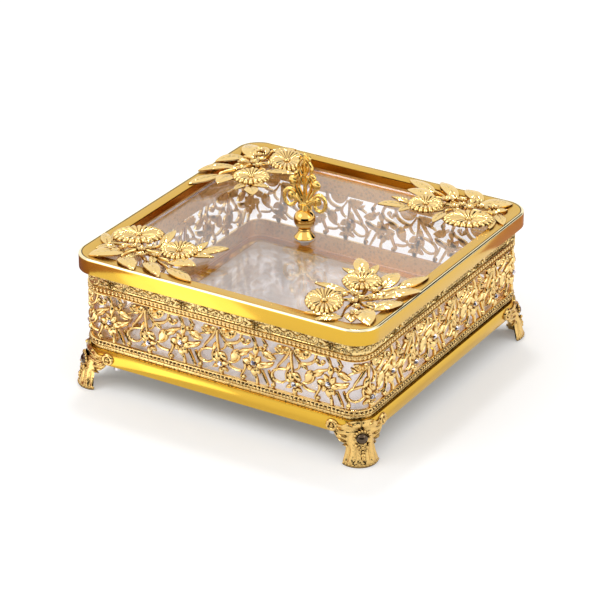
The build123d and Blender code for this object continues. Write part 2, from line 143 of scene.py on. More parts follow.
def next_ring(bm, ring, edges):
    """Extrudes a ring; each point of the new one is the neighbour of the same point in the old one."""
    made = bmesh.ops.extrude_edge_only(bm, edges=edges)["geom"]
    fresh = {item for item in made if isinstance(item, bmesh.types.BMVert)}
    ordered = []
    for old in ring:
        others = (edge.other_vert(old) for edge in old.link_edges)
        ordered.append(next(other for other in others if other in fresh))
    return ordered, [item for item in made if isinstance(item, bmesh.types.BMEdge) and item.is_boundary]


def patch(bm, across, along, place, depth=None):
    """Grid whose points are put by place(s, t), s and t from 0 to 1; depth closes it with a flat back."""
    made = bmesh.ops.create_grid(bm, x_segments=across, y_segments=along, size=0.5)
    verts = made["verts"]
    faces = once(face for vert in verts for face in vert.link_faces)
    for vert in verts:
        vert.co = Vector(place(vert.co.x + 0.5, vert.co.y + 0.5))
    if depth is not None:
        rim = [edge for face in faces for edge in face.edges if edge.is_boundary]
        skirt = bmesh.ops.extrude_edge_only(bm, edges=rim)
        for item in skirt["geom"]:
            if isinstance(item, bmesh.types.BMVert):
                item.co.z = depth
        ends = [item for item in skirt["geom"] if isinstance(item, bmesh.types.BMEdge) and item.is_boundary]
        bmesh.ops.holes_fill(bm, edges=ends, sides=0)
    return verts


def strand(bm, points, rise=0.9, back=-WALL_SHEET, steps=3, blunt=0.55):
    """Cast strand with a rounded face, along points (right, down, width)."""
    run = smooth_path(points, steps)
    section = [(-1, back), (-1, 0.05), (-0.62, 0.68), (0, 1.0), (0.62, 0.68), (1, 0.05), (1, back)]
    ring, edges = first_ring(bm, len(section))
    first = list(edges)
    for index, (x, y, width) in enumerate(run):
        if index:
            ring, edges = next_ring(bm, ring, edges)
        before, after = run[max(index - 1, 0)], run[min(index + 1, len(run) - 1)]
        reach = Vector((after[0] - before[0], after[1] - before[1], 0))
        aside = Vector((-reach.y, reach.x, 0)).normalized() * (width / 2)
        end = index in (0, len(run) - 1)
        for vert, (share, height) in zip(ring, section):
            lift = height * rise if height > 0 else height
            vert.co = Vector((x, y, lift * (blunt if end and height > 0 else 1))) + aside * share
    bmesh.ops.holes_fill(bm, edges=first + edges, sides=0)


def leaf(bm, root, tip, width, rise=1.3, ribs=0, back=-WALL_SHEET, crease=0.45, fat=0.75):
    """Relief leaf from root to tip, with a creased midrib and optional side veins."""
    start, reach = Vector((*root, 0)), Vector((tip[0] - root[0], tip[1] - root[1], 0))
    aside = Vector((-reach.y, reach.x, 0)).normalized()

    def place(s, t):
        spread = sin(pi * min(1, s ** fat * 0.97 + 0.03)) ** 0.8
        side = 2 * t - 1
        point = start + reach * s + aside * (side * width / 2 * spread)
        dome = (1 - abs(side) ** 2.4) * (0.35 + 0.65 * sin(pi * min(1, s + 0.12)))
        fold = crease * exp(-(side / 0.16) ** 2) * (1 - s)
        vein = 0.13 * cos(2 * pi * (ribs * s - 0.7 * abs(side))) if ribs else 0.0
        return point.x, point.y, rise * dome - fold * rise + vein * (1 - abs(side)) + 0.1
    patch(bm, 8, 6, place, depth=back)


def ball(bm, x, y, radius, z=0.4):
    """Slightly flattened ball."""
    place = Matrix.Translation((x, y, z)) @ Matrix.Diagonal((1, 1, 0.8, 1))
    bmesh.ops.create_icosphere(bm, subdivisions=2, radius=radius, matrix=place)


def fan(bm, x, y, radius, start, sweep, ribs, rise=1.1, back=-WALL_SHEET):
    """Shell fan: ribs spread from (x, y) between two angles, with a raised outer edge."""
    def place(s, t):
        angle = radians(start + sweep * s)
        reach = radius * (0.12 + 0.88 * t)
        rib = 0.5 - 0.5 * cos(2 * pi * ribs * s)
        edge = exp(-((t - 0.94) / 0.07) ** 2)
        lift = rise * (0.25 + 0.45 * rib * (t < 0.9) + 0.75 * edge - 0.2 * exp(-((t - 0.8) / 0.06) ** 2))
        return x + reach * cos(angle), y + reach * sin(angle), lift
    patch(bm, ribs * 4, 9, place, depth=back)


# ------------------------------------------------------------------ one repeat of the wall's pattern
# Drawn in mm to the right and down from the repeat's zero: strands as points with a width; leaves as root,
# tip, width and number of veins; eyelets as middles; fans as middle, radius, first angle, sweep and ribs.
# Stones are shares of a repeat's length, from its start, and of the pierced height, from its top.
STRANDS = (
    ((-0.2, 2.6, 1.5), (-0.4, 6.5, 1.4), (-0.1, 10.5, 1.2), (0.4, 14.0, 1.2), (0.8, 18.0, 1.4)),
    ((-0.8, 3.0, 1.2), (-2.6, 5.8, 2.0), (-4.4, 8.6, 2.1), (-6.6, 11.6, 1.7), (-8.6, 14.2, 1.5),
     (-9.8, 17.2, 0.9)),
    ((1.0, 2.9, 1.2), (3.2, 6.6, 1.0), (5.1, 9.2, 1.6), (5.3, 11.6, 1.5), (4.0, 13.6, 1.3),
     (2.2, 14.6, 0.9)),
    ((16.1, 0.2, 1.3), (15.5, 3.8, 1.5), (13.8, 6.6, 1.8), (10.6, 8.5, 1.9), (6.6, 9.2, 1.2)),
    ((16.7, 6.0, 1.1), (18.5, 7.0, 1.3), (20.4, 6.3, 1.0)),
    ((25.2, 6.8, 1.2), (23.6, 8.6, 1.4), (20.8, 10.0, 1.9), (17.2, 11.1, 1.9), (14.2, 12.6, 1.0)),
    ((23.0, 0.3, 1.7), (24.7, 3.4, 1.7), (25.6, 6.4, 1.3)),
    ((29.9, 0.3, 1.5), (31.7, 3.0, 1.5), (32.2, 5.6, 1.3), (30.8, 8.2, 1.5), (31.2, 10.6, 1.5),
     (34.4, 12.2, 1.3), (37.2, 11.8, 0.8)),
    ((36.8, 8.6, 0.8), (40.4, 6.8, 1.4), (44.4, 6.0, 1.6)),
    ((25.8, 11.0, 1.4), (25.4, 13.4, 1.3), (24.8, 15.6, 1.2)),
    ((17.2, 17.6, 1.8), (18.6, 20.8, 1.9), (17.2, 24.6, 1.5), (15.6, 27.9, 1.5), (17.6, 29.6, 1.6)),
    ((29.4, 20.6, 1.4), (31.0, 24.0, 1.7), (32.4, 26.6, 1.5), (33.8, 29.6, 1.2)),
    ((33.8, 19.6, 1.0), (35.6, 23.6, 1.7), (37.4, 27.0, 1.5), (37.0, 30.0, 1.6)),
    ((46.9, 15.4, 1.0), (42.6, 16.2, 1.7), (38.8, 17.6, 1.7), (36.4, 20.6, 1.6), (37.2, 23.8, 1.3),
     (40.6, 25.1, 1.2), (43.8, 24.4, 1.2), (46.8, 22.0, 1.2)),
    ((47.4, 14.8, 1.6), (45.6, 18.6, 1.4), (46.0, 22.0, 1.2)),
    ((7.0, 21.6, 1.3), (8.2, 23.6, 1.4), (11.4, 24.7, 1.5), (15.8, 24.9, 1.3)),
    ((25.2, 25.0, 1.9), (26.2, 27.2, 1.6), (26.5, 30.2, 1.9)),
    ((13.2, 12.8, 1.2), (14.6, 15.4, 1.6), (13.6, 18.6, 1.4), (10.6, 20.6, 1.4), (7.4, 21.0, 1.2)),
    ((2.2, 27.0, 2.2), (2.2, 30.2, 2.4)),
    ((28.4, 16.4, 1.4), (33.0, 15.6, 1.6), (37.4, 13.8, 1.0)),
    ((12.4, 0.3, 1.2), (18.0, 0.5, 1.2), (23.0, 0.3, 1.2)),
)
LEAVES = (
    ((-0.4, 10.4), (-3.6, 17.6), 3.3, 2), ((0.9, 16.6), (6.2, 20.6), 4.2, 0),
    ((1.2, 22.2), (-1.2, 16.2), 3.6, 0), ((2.4, 23.2), (7.4, 22.8), 3.0, 0),
    ((0.6, 24.4), (-3.9, 27.2), 2.8, 0), ((0.8, 23.4), (-3.4, 21.2), 2.8, 0),
    ((2.4, 26.0), (2.0, 30.2), 3.6, 0), ((3.2, 25.6), (6.8, 27.8), 2.6, 0),
    ((20.8, 10.2), (14.2, 15.2), 3.8, 2), ((5.8, 8.8), (10.6, 12.4), 2.8, 0),
    ((13.2, 12.2), (9.2, 20.8), 5.4, 3), ((31.0, 8.2), (38.8, 11.4), 3.6, 3),
    ((37.2, 14.4), (29.2, 18.8), 3.6, 2), ((24.4, 20.4), (24.4, 25.8), 5.0, 2),
    ((24.4, 17.0), (21.4, 11.8), 3.9, 0), ((25.2, 17.0), (28.6, 12.4), 4.2, 0),
    ((26.0, 18.2), (31.4, 18.4), 3.9, 0), ((25.2, 19.6), (28.4, 23.6), 3.9, 0),
    ((22.8, 19.4), (20.2, 23.0), 3.9, 0), ((22.4, 18.0), (16.8, 16.6), 3.9, 0),
    ((28.0, 6.0), (31.2, 9.4), 2.2, 0), ((41.8, 6.8), (38.2, 3.6), 2.4, 0),
    ((46.6, 17.8), (50.2, 21.6), 3.2, 0),
)
BUD = ((25.9, 11.6), (25.5, 5.0), 4.2)
EYELETS = ((16.7, 5.0), (20.5, 4.8), (32.0, 4.4), (17.3, 28.4), (37.1, 28.4))
STONES = ((0.068, 0.772), (0.521, 0.558))
FANS = ((7.3, 0.4, 5.7, 0, 180, 7), (-4.9, 1.2, 4.6, 5, 170, 6))


def element(middle, draw):
    """One element of the pattern as a small flat mesh, with its middle along the wall."""
    bm = bmesh.new()
    draw(bm)
    bmesh.ops.remove_doubles(bm, verts=bm.verts, dist=WELD)
    bmesh.ops.recalc_face_normals(bm, faces=bm.faces)
    return middle, mesh_from("pattern_element", bm)


def motif_pieces():
    """Every element of one repeat of the pierced pattern."""
    makers = []
    for points in STRANDS:
        makers.append((points[len(points) // 2][0], lambda bm, p=points: strand(bm, p)))
    for root, tip, width, ribs in LEAVES:
        middle = (root[0] + tip[0]) / 2
        makers.append((middle, lambda bm, r=root, t=tip, w=width, n=ribs: leaf(bm, r, t, w, ribs=n)))
    makers.append((BUD[0][0], lambda bm: leaf(bm, *BUD, rise=1.7, ribs=4, crease=0.0, fat=1.0)))
    for x, y in EYELETS:
        makers.append((x, lambda bm, x=x, y=y: eyelet(bm, x, y)))
    for shell in FANS:
        makers.append((shell[0], lambda bm, f=shell: fan(bm, *f)))
    for share, drop in STONES:
        x, y = share * PITCH - MOTIF_SHIFT, drop * (PIERCED_TOP - PIERCED_LOW)
        makers.append((x, lambda bm, x=x, y=y: stone_cup(bm, x, y)))
    return [element(middle, draw) for middle, draw in makers]


def eyelet(bm, x, y):
    """Round scroll end with a pit in the middle."""
    def place(s, t):
        angle, reach = 2 * pi * s, 1.45 * t
        lift = 0.25 + 0.95 * sin(pi * min(1, t * 0.9 + 0.1)) ** 2
        return x + reach * cos(angle), y + reach * sin(angle), lift
    patch(bm, 12, 4, place, depth=-WALL_SHEET)


def stone_cup(bm, x, y):
    """Cup with a claw-like rim that holds a stone."""
    def place(s, t):
        angle, reach = 2 * pi * s, 0.3 + 2.1 * t
        claws = 0.75 + 0.25 * cos(8 * angle)
        lift = 0.7 + 0.5 * exp(-((t - 0.82) / 0.12) ** 2) * claws - 6.4 * max(0, t - 0.9)
        return x + reach * cos(angle), y + reach * sin(angle), lift
    patch(bm, 24, 8, place, depth=-WALL_SHEET)


# ------------------------------------------------------------------ rings that follow the rounded square
def ring_band(bm, profile, half, corner, start, end, closed=True, steps=7):
    """Sweeps a closed profile of (out, height) points along a rounded square between two runs."""
    flat = half - corner
    side_run = flat + corner * pi / 4
    stops = set()
    for side in range(-1, 5):
        middle = 2 * side_run * side
        for share in range(-steps, steps + 1):
            stops.add(middle + share / steps * corner * pi / 4 + side_run)
        stops.add(middle)
    stops = sorted(stop for stop in stops if start + 0.01 < stop < end - 0.01)
    stops = [start, *stops, end]
    ring, edges = first_ring(bm, len(profile))
    first = list(edges)
    for index, run in enumerate(stops):
        if index:
            ring, edges = next_ring(bm, ring, edges)
        for vert, (out, height) in zip(ring, profile):
            point, _ = round_square(run, half, corner, out)
            vert.co = Vector((point.x, point.y, height))
    if closed:
        bmesh.ops.holes_fill(bm, edges=first + edges, sides=0)


def full_ring(bm, profile, half, corner, steps):
    """The same, all the way round and joined to its own start."""
    side_run = half - corner + corner * pi / 4
    ring_band(bm, profile, half, corner, 0.0, 8 * side_run, closed=False, steps=steps)
    bmesh.ops.remove_doubles(bm, verts=bm.verts, dist=RING_WELD)


# ------------------------------------------------------------------ finishing a piece
def finish(name, bm, body, nodes, material, smooth=40.0, recalc=True):
    """Turns a drawing in mm into a piece in metres that rides on a body and stands for CAD nodes."""
    if recalc:
        bmesh.ops.recalc_face_normals(bm, faces=bm.faces)
    piece = add_object(name, bm)
    mesh = piece.data
    for polygon in mesh.polygons:
        polygon.use_smooth = True
    mesh.set_sharp_from_angle(angle=radians(smooth))
    mesh.materials.append(material)
    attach(piece, body)
    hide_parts(*nodes)


# ------------------------------------------------------------------ materials
def group(name, inputs, outputs):
    """Empty shader node group with its group nodes; inputs and outputs are (name, socket type, default)."""
    tree = bpy.data.node_groups.new(name, "ShaderNodeTree")
    for label, kind, default in inputs:
        socket = tree.interface.new_socket(label, in_out="INPUT", socket_type=kind)
        socket.default_value = default
    for label, kind in outputs:
        tree.interface.new_socket(label, in_out="OUTPUT", socket_type=kind)
    return tree, tree.nodes.new("NodeGroupInput"), tree.nodes.new("NodeGroupOutput")


def node(tree, kind, **values):
    """New node; each value is one of its settings or the plain value of an input, with _ for a space."""
    made = tree.nodes.new(kind)
    for key, value in values.items():
        if hasattr(made, key):
            setattr(made, key, value)
        else:
            made.inputs[key.replace("_", " ")].default_value = value
    return made


def maths(tree, operation, a, b=None):
    """Output of a math node; a and b are sockets or numbers."""
    made = tree.nodes.new("ShaderNodeMath")
    made.operation = operation
    for socket, value in zip(made.inputs, (a, b)):
        if value is None:
            continue
        if isinstance(value, (int, float)):
            socket.default_value = value
        else:
            tree.links.new(value, socket)
    return made.outputs[0]


def blend(tree, share, first, second):
    """Colour between two, each a socket or three numbers."""
    mix = tree.nodes.new("ShaderNodeMix")
    mix.data_type = "RGBA"
    tree.links.new(share, mix.inputs["Factor"])
    for label, value in (("A", first), ("B", second)):
        if isinstance(value, tuple):
            mix.inputs[label].default_value = (*value, 1)
        else:
            tree.links.new(value, mix.inputs[label])
    return mix.outputs["Result"]


def object_place(tree):
    return tree.nodes.new("ShaderNodeTexCoord").outputs["Object"]


def build_gilding_and_painted_shade_group():
    """Gilding: slow change of tone over the surface, and painted shade: a darker colour put into the recesses
    by ambient occlusion.
    """
    tree, enter, leave = group(
        "gilding",
        (("Bright", "NodeSocketColor", (0.9, 0.6, 0.15, 1)),
         ("Deep", "NodeSocketColor", (0.3, 0.12, 0.02, 1)),
         ("Recess", "NodeSocketFloat", 0.5), ("Reach", "NodeSocketFloat", 0.002),
         ("Mottle", "NodeSocketFloat", 0.1)),
        (("Color", "NodeSocketColor"), ("Open", "NodeSocketFloat")))
    place = object_place(tree)
    cloud = node(tree, "ShaderNodeTexNoise", Scale=120.0, Detail=2.0)
    tree.links.new(place, cloud.inputs["Vector"])
    # Painted shade: the less open a point is, the nearer its colour comes to the dark shade colour.
    shade = tree.nodes.new("ShaderNodeAmbientOcclusion")
    shade.samples = 6
    tree.links.new(enter.outputs["Reach"], shade.inputs["Distance"])
    open_share = maths(tree, "POWER", shade.outputs["AO"], 1.4)
    painted_shade = maths(tree, "MULTIPLY", maths(tree, "SUBTRACT", 1.0, open_share), enter.outputs["Recess"])
    drift = maths(tree, "SUBTRACT", cloud.outputs["Fac"], 0.5)
    total = maths(tree, "ADD", painted_shade, maths(tree, "MULTIPLY", drift, enter.outputs["Mottle"]))
    tone_with_painted_shade = blend(tree, total, enter.outputs["Bright"], enter.outputs["Deep"])
    tree.links.new(tone_with_painted_shade, leave.inputs["Color"])
    tree.links.new(open_share, leave.inputs["Open"])
    return tree


def build_cast_group():
    """Fine waviness and grain of a cast and plated surface, as a height."""
    tree, enter, leave = group(
        "cast skin",
        (("Wave", "NodeSocketFloat", 400.0), ("Grain", "NodeSocketFloat", 2500.0),
         ("Grain share", "NodeSocketFloat", 0.3)),
        (("Height", "NodeSocketFloat"),))
    place = object_place(tree)
    heights = []
    for label in ("Wave", "Grain"):
        cloud = node(tree, "ShaderNodeTexNoise", Detail=1.0)
        tree.links.new(place, cloud.inputs["Vector"])
        tree.links.new(enter.outputs[label], cloud.inputs["Scale"])
        heights.append(cloud.outputs["Fac"])
    fine = maths(tree, "MULTIPLY", heights[1], enter.outputs["Grain share"])
    tree.links.new(maths(tree, "ADD", heights[0], fine), leave.inputs["Height"])
    return tree


def build_wall_depth_group():
    """How far a point lies inside the gallery's outer face, as 0 at the face and 1 at the inner side."""
    tree, enter, leave = group(
        "wall depth",
        (("Flat", "NodeSocketFloat", WALL_FLAT * MM), ("Corner", "NodeSocketFloat", WALL_CORNER * MM),
         ("Near", "NodeSocketFloat", 0.0), ("Far", "NodeSocketFloat", 0.001)),
        (("Share", "NodeSocketFloat"),))
    place = object_place(tree)
    parts = tree.nodes.new("ShaderNodeSeparateXYZ")
    tree.links.new(place, parts.inputs["Vector"])
    squares = []
    for axis in "XY":
        past = maths(tree, "SUBTRACT", maths(tree, "ABSOLUTE", parts.outputs[axis]), enter.outputs["Flat"])
        squares.append(maths(tree, "POWER", maths(tree, "MAXIMUM", past, 0.0), 2.0))
    radius = maths(tree, "SQRT", maths(tree, "ADD", *squares))
    depth = maths(tree, "SUBTRACT", enter.outputs["Corner"], radius)
    share = tree.nodes.new("ShaderNodeMapRange")
    tree.links.new(depth, share.inputs["Value"])
    tree.links.new(enter.outputs["Near"], share.inputs["From Min"])
    tree.links.new(enter.outputs["Far"], share.inputs["From Max"])
    tree.links.new(share.outputs["Result"], leave.inputs["Share"])
    return tree


def build_stipple_group():
    """Punched ground: a mask of round dots scattered over a surface, where the painted shade of pits goes."""
    tree, enter, leave = group(
        "stipple",
        (("Scale", "NodeSocketFloat", 800.0), ("Size", "NodeSocketFloat", 0.3)),
        (("Mask", "NodeSocketFloat"),))
    place = object_place(tree)
    cells = tree.nodes.new("ShaderNodeTexVoronoi")
    tree.links.new(place, cells.inputs["Vector"])
    tree.links.new(enter.outputs["Scale"], cells.inputs["Scale"])
    mask = node(tree, "ShaderNodeMapRange", To_Min=1.0, To_Max=0.0)
    tree.links.new(cells.outputs["Distance"], mask.inputs["Value"])
    tree.links.new(enter.outputs["Size"], mask.inputs["From Max"])
    tree.links.new(mask.outputs["Result"], leave.inputs["Mask"])
    return tree


GILDING_AND_PAINTED_SHADE = build_gilding_and_painted_shade_group()
WALL_DEPTH = build_wall_depth_group()
STIPPLE = build_stipple_group()
CAST_SKIN = build_cast_group()


def new_material(name):
    """Material with its node tree and its Principled shader."""
    material = bpy.data.materials.new(name)
    material.use_nodes = True
    return material, material.node_tree, material.node_tree.nodes["Principled BSDF"]


# The wall's inner side: from where to where its paler tan sets in, in metres behind the outer face; that tan
# is painted light for the box's interior.
INNER_NEAR, INNER_FAR = 0.0006, 0.00105
INNER_PIT_SHADE, INNER_PAINTED_LIGHT_METAL_LOSS = 0.66, 0.5
# Near-black colour of painted shade in punched pits.
PIT_PAINTED_SHADE = (0.01, 0.004, 0.001)
SMEAR, SKIN_HEIGHT, COAT_ROUGHNESS = 0.06, 0.0004, 0.03


def gilt(name, bright, painted_shade_tone, roughness, painted_recess_shade=0.6, reach=0.002, bump=0.0, wave=400.0, mottle=0.1,
         inner=None, pit_shade=0.0, coat=0.0):
    """Gilding: bright where it stands out, with painted shade in the recesses; inner is the paler, half matte
    tan of the wall's inside, painted light for the box's interior.
    """
    material, tree, shader = new_material(name)
    shader.inputs["Metallic"].default_value = 1.0
    tone = node(tree, "ShaderNodeGroup", node_tree=GILDING_AND_PAINTED_SHADE, Bright=(*bright, 1), Deep=(*painted_shade_tone, 1),
                Recess=painted_recess_shade, Reach=reach, Mottle=mottle)
    colour = tone.outputs["Color"]
    place = object_place(tree)
    smear = node(tree, "ShaderNodeTexNoise", Scale=60.0, Detail=3.0)
    tree.links.new(place, smear.inputs["Vector"])
    rough = maths(tree, "ADD", roughness - SMEAR / 2, maths(tree, "MULTIPLY", smear.outputs["Fac"], SMEAR))
    # Painted shade: near-black dots stand for the shade in punched pits.
    if pit_shade:
        pit_dots = node(tree, "ShaderNodeGroup", node_tree=STIPPLE, Scale=620.0, Size=0.48)
        mask = maths(tree, "MULTIPLY", pit_dots.outputs["Mask"], pit_shade)
        colour = blend(tree, mask, colour, PIT_PAINTED_SHADE)
        rough = maths(tree, "ADD", rough, maths(tree, "MULTIPLY", mask, 0.3))
    # Painted light: the wall's inside turns a paler, less metallic tan, standing in for the light inside the
    # box; its embossed dots get painted shade.
    if inner:
        depth = node(tree, "ShaderNodeGroup", node_tree=WALL_DEPTH, Near=INNER_NEAR, Far=INNER_FAR)
        embossed = node(tree, "ShaderNodeGroup", node_tree=STIPPLE, Scale=420.0, Size=0.55)
        shaded = tuple(INNER_PIT_SHADE * part for part in inner)
        back = blend(tree, embossed.outputs["Mask"], inner, shaded)
        share = depth.outputs["Share"]
        colour = blend(tree, share, colour, back)
        rough = maths(tree, "ADD", rough, maths(tree, "MULTIPLY", share, 0.25))
        metal = maths(tree, "SUBTRACT", 1.0, maths(tree, "MULTIPLY", share, INNER_PAINTED_LIGHT_METAL_LOSS))
        tree.links.new(metal, shader.inputs["Metallic"])
    shader.inputs["Coat Weight"].default_value = coat
    shader.inputs["Coat Roughness"].default_value = COAT_ROUGHNESS
    tree.links.new(colour, shader.inputs["Base Color"])
    tree.links.new(rough, shader.inputs["Roughness"])
    if bump:
        skin = node(tree, "ShaderNodeGroup", node_tree=CAST_SKIN, Wave=wave)
        relief = node(tree, "ShaderNodeBump", Strength=bump, Distance=SKIN_HEIGHT)
        tree.links.new(skin.outputs["Height"], relief.inputs["Height"])
        tree.links.new(relief.outputs["Normal"], shader.inputs["Normal"])
    return material


def clear(name, tint):
    """Clear sheet that lets lamps, and what the gilding mirrors, through to what stands behind it."""
    material, tree, shader = new_material(name)
    shader.inputs["Transmission Weight"].default_value = 1.0
    shader.inputs["Base Color"].default_value = (*tint, 1)
    shader.inputs["Roughness"].default_value = 0.0
    shader.inputs["IOR"].default_value = 1.49
    path = tree.nodes.new("ShaderNodeLightPath")
    through = node(tree, "ShaderNodeBsdfTransparent", Color=(*tint, 1))
    mix = tree.nodes.new("ShaderNodeMixShader")
    lamps = maths(tree, "MAXIMUM", path.outputs["Is Shadow Ray"], path.outputs["Is Diffuse Ray"])
    mirrored = maths(tree, "SUBTRACT", path.outputs["Is Glossy Ray"], path.outputs["Is Transmission Ray"])
    tree.links.new(maths(tree, "MAXIMUM", lamps, mirrored), mix.inputs["Fac"])
    tree.links.new(shader.outputs[0], mix.inputs[1])
    tree.links.new(through.outputs[0], mix.inputs[2])
    tree.links.new(mix.outputs[0], tree.nodes["Material Output"].inputs["Surface"])
    return material


def plain(name, colour, roughness, metallic=0.0):
    """Plain finish with a slight change of tone over the surface."""
    darker, lighter = 0.92, 1.04
    material, tree, shader = new_material(name)
    shader.inputs["Metallic"].default_value = metallic
    shader.inputs["Roughness"].default_value = roughness
    cloud = node(tree, "ShaderNodeTexNoise", Scale=80.0, Detail=3.0)
    tree.links.new(object_place(tree), cloud.inputs["Vector"])
    ramp = tree.nodes.new("ShaderNodeValToRGB")
    ramp.color_ramp.elements[0].color = (*[part * darker for part in colour], 1)
    ramp.color_ramp.elements[1].color = (*[min(1, part * lighter) for part in colour], 1)
    tree.links.new(cloud.outputs["Fac"], ramp.inputs["Fac"])
    tree.links.new(ramp.outputs["Color"], shader.inputs["Base Color"])
    return material


def stone_material():
    """Foil backed cut crystal: facets painted bright or dark by cells, as painted reflections."""
    material, tree, shader = new_material("cut crystal with painted facet reflections")
    place = object_place(tree)
    # Painted reflections: cells of the stone are coloured dark or bright.
    cells = node(tree, "ShaderNodeTexVoronoi", Scale=900.0)
    tree.links.new(place, cells.inputs["Vector"])
    ramp = tree.nodes.new("ShaderNodeValToRGB")
    ramp.color_ramp.interpolation = "CONSTANT"
    ramp.color_ramp.elements[0].color = (0.2, 0.19, 0.26, 1)
    ramp.color_ramp.elements[1].position = 0.4
    ramp.color_ramp.elements[1].color = (0.95, 0.93, 0.98, 1)
    spread = tree.nodes.new("ShaderNodeSeparateColor")
    tree.links.new(cells.outputs["Color"], spread.inputs["Color"])
    tree.links.new(spread.outputs["Red"], ramp.inputs["Fac"])
    tree.links.new(ramp.outputs["Color"], shader.inputs["Base Color"])
    shader.inputs["Metallic"].default_value = 0.85
    shader.inputs["Roughness"].default_value = 0.06
    return material


# In each gilt finish below, the second colour is painted shade, put into the recesses by ambient occlusion.
BRIGHT_GOLD, SHEET_GOLD, INNER_PAINTED_LIGHT_TAN = (0.97, 0.71, 0.3), (0.73, 0.44, 0.05), (1.0, 0.62, 0.22)
cast_gold = gilt("gilt cast pattern", BRIGHT_GOLD, (0.26, 0.08, 0.007), 0.14, painted_recess_shade=0.75, reach=0.0022,
                 bump=0.2, wave=900.0, inner=INNER_PAINTED_LIGHT_TAN)
leaf_gold = gilt("gilt leaves and flowers", (0.95, 0.68, 0.27), (0.2, 0.06, 0.006), 0.13, painted_recess_shade=0.85,
                 reach=0.003, bump=0.25)
sheet_gold = gilt("gilt polished sheet", SHEET_GOLD, (0.4, 0.14, 0.01), 0.14, painted_recess_shade=0.3, reach=0.004,
                  mottle=0.02, coat=0.1)
flange_gold = gilt("gilt satin flange", (0.73, 0.45, 0.085), (0.3, 0.1, 0.01), 0.24, painted_recess_shade=0.5,
                   reach=0.004, mottle=0.04)
# Painted highlight: the bevel is coloured pale to show a bright line along the lid's edge.
bevel_painted_highlight = gilt("gilt bevel with painted highlight", (1.0, 0.88, 0.55), (0.7, 0.4, 0.1), 0.12, painted_recess_shade=0.2, mottle=0.02)
# Painted shadow: the seam groove is coloured near black.
seam_painted_shadow = gilt("seam with painted shadow", (0.06, 0.03, 0.01), (0.01, 0.004, 0.001), 0.3, painted_recess_shade=0.8)
lip_gold = gilt("gilt shaded lip", (0.75, 0.26, 0.012), (0.25, 0.06, 0.004), 0.2, painted_recess_shade=0.5, reach=0.004)
border_gold = gilt("gilt border with painted pit shade", BRIGHT_GOLD, (0.02, 0.007, 0.001), 0.16, painted_recess_shade=1.0,
                   reach=0.0016, bump=0.4, wave=1500.0, inner=INNER_PAINTED_LIGHT_TAN, pit_shade=1.0)
foot_gold = gilt("gilt cast foot", (0.88, 0.58, 0.2), (0.02, 0.006, 0.001), 0.09, painted_recess_shade=1.0, reach=0.006,
                 bump=0.3, wave=700.0, pit_shade=0.2)
# Painted reflection: the dome is coloured near black, as if it mirrored a dark room.
boss_painted_dark_reflection = gilt("boss with painted dark reflection", (0.08, 0.045, 0.016), (0.01, 0.004, 0.001), 0.04, reach=0.003,
                 coat=0.8)
knob_gold = gilt("gilt palmette", (1.0, 0.7, 0.2), (0.6, 0.22, 0.015), 0.2, painted_recess_shade=0.35, bump=0.1)
ball_gold = gilt("gilt mirror ball", (0.92, 0.56, 0.12), (0.4, 0.13, 0.01), 0.04, painted_recess_shade=0.3, mottle=0.03,
                 coat=0.6)
stone_clear = stone_material()
pane_clear = clear("clear pane", (0.97, 0.965, 0.975))
liner_clear = clear("clear liner", (0.995, 0.98, 0.985))
floor_pale = plain("pale floor sheet", (1.0, 0.95, 0.88), 0.08, metallic=0.22)
steel = plain("plain steel", (0.6, 0.6, 0.62), 0.3, metallic=1.0)
gasket_pale = plain("pale gasket", (0.75, 0.74, 0.72), 0.6)


# ------------------------------------------------------------------ gallery
def add_bent(bm, mesh, place):
    """Adds a flat element to a drawing, bent round the wall or the rim."""
    before = len(bm.verts)
    bm.from_mesh(mesh)
    bm.verts.ensure_lookup_table()
    for vert in bm.verts[before:]:
        vert.co = place(vert.co)


def small_lump():
    bm = bmesh.new()
    shape = Matrix.Diagonal((0.95, 0.85, 1.0, 1))
    bmesh.ops.create_icosphere(bm, subdivisions=1, radius=1.0, matrix=shape)
    return mesh_from("lump", bm)


def wall_bead():
    bm = bmesh.new()
    shape = Matrix.Diagonal((1.12, 1.3, 1.0, 1))
    bmesh.ops.create_uvsphere(bm, u_segments=8, v_segments=5, radius=1.0, matrix=shape)
    return mesh_from("bead", bm)


# The upper border, drawn from the pierced top: a long pill with a vine in it, and leaves between the pills.
PILL_MIDDLE, PILL_REACH, PILL_TALL, PILL_LEVEL = 1.4, 16.0, 3.5, -8.7
VINE_PITCH, VINE_LEAVES, BORDER_BACK = 2.05, 13, -0.3
BORDER_LEAVES = (((0.6, -6.3), (5.8, -5.4), 1.9), ((1.0, -7.6), (6.4, -9.2), 2.1),
                 ((0.8, -9.0), (3.6, -12.4), 2.2), ((5.6, -6.6), (8.4, -7.6), 1.5),
                 ((6.0, -10.6), (8.4, -12.6), 1.7), ((0.3, -5.6), (2.6, -4.7), 1.6))


def border_leaf(root, tip, width, rise):
    return lambda bm: leaf(bm, root, tip, width, rise=rise, back=BORDER_BACK)


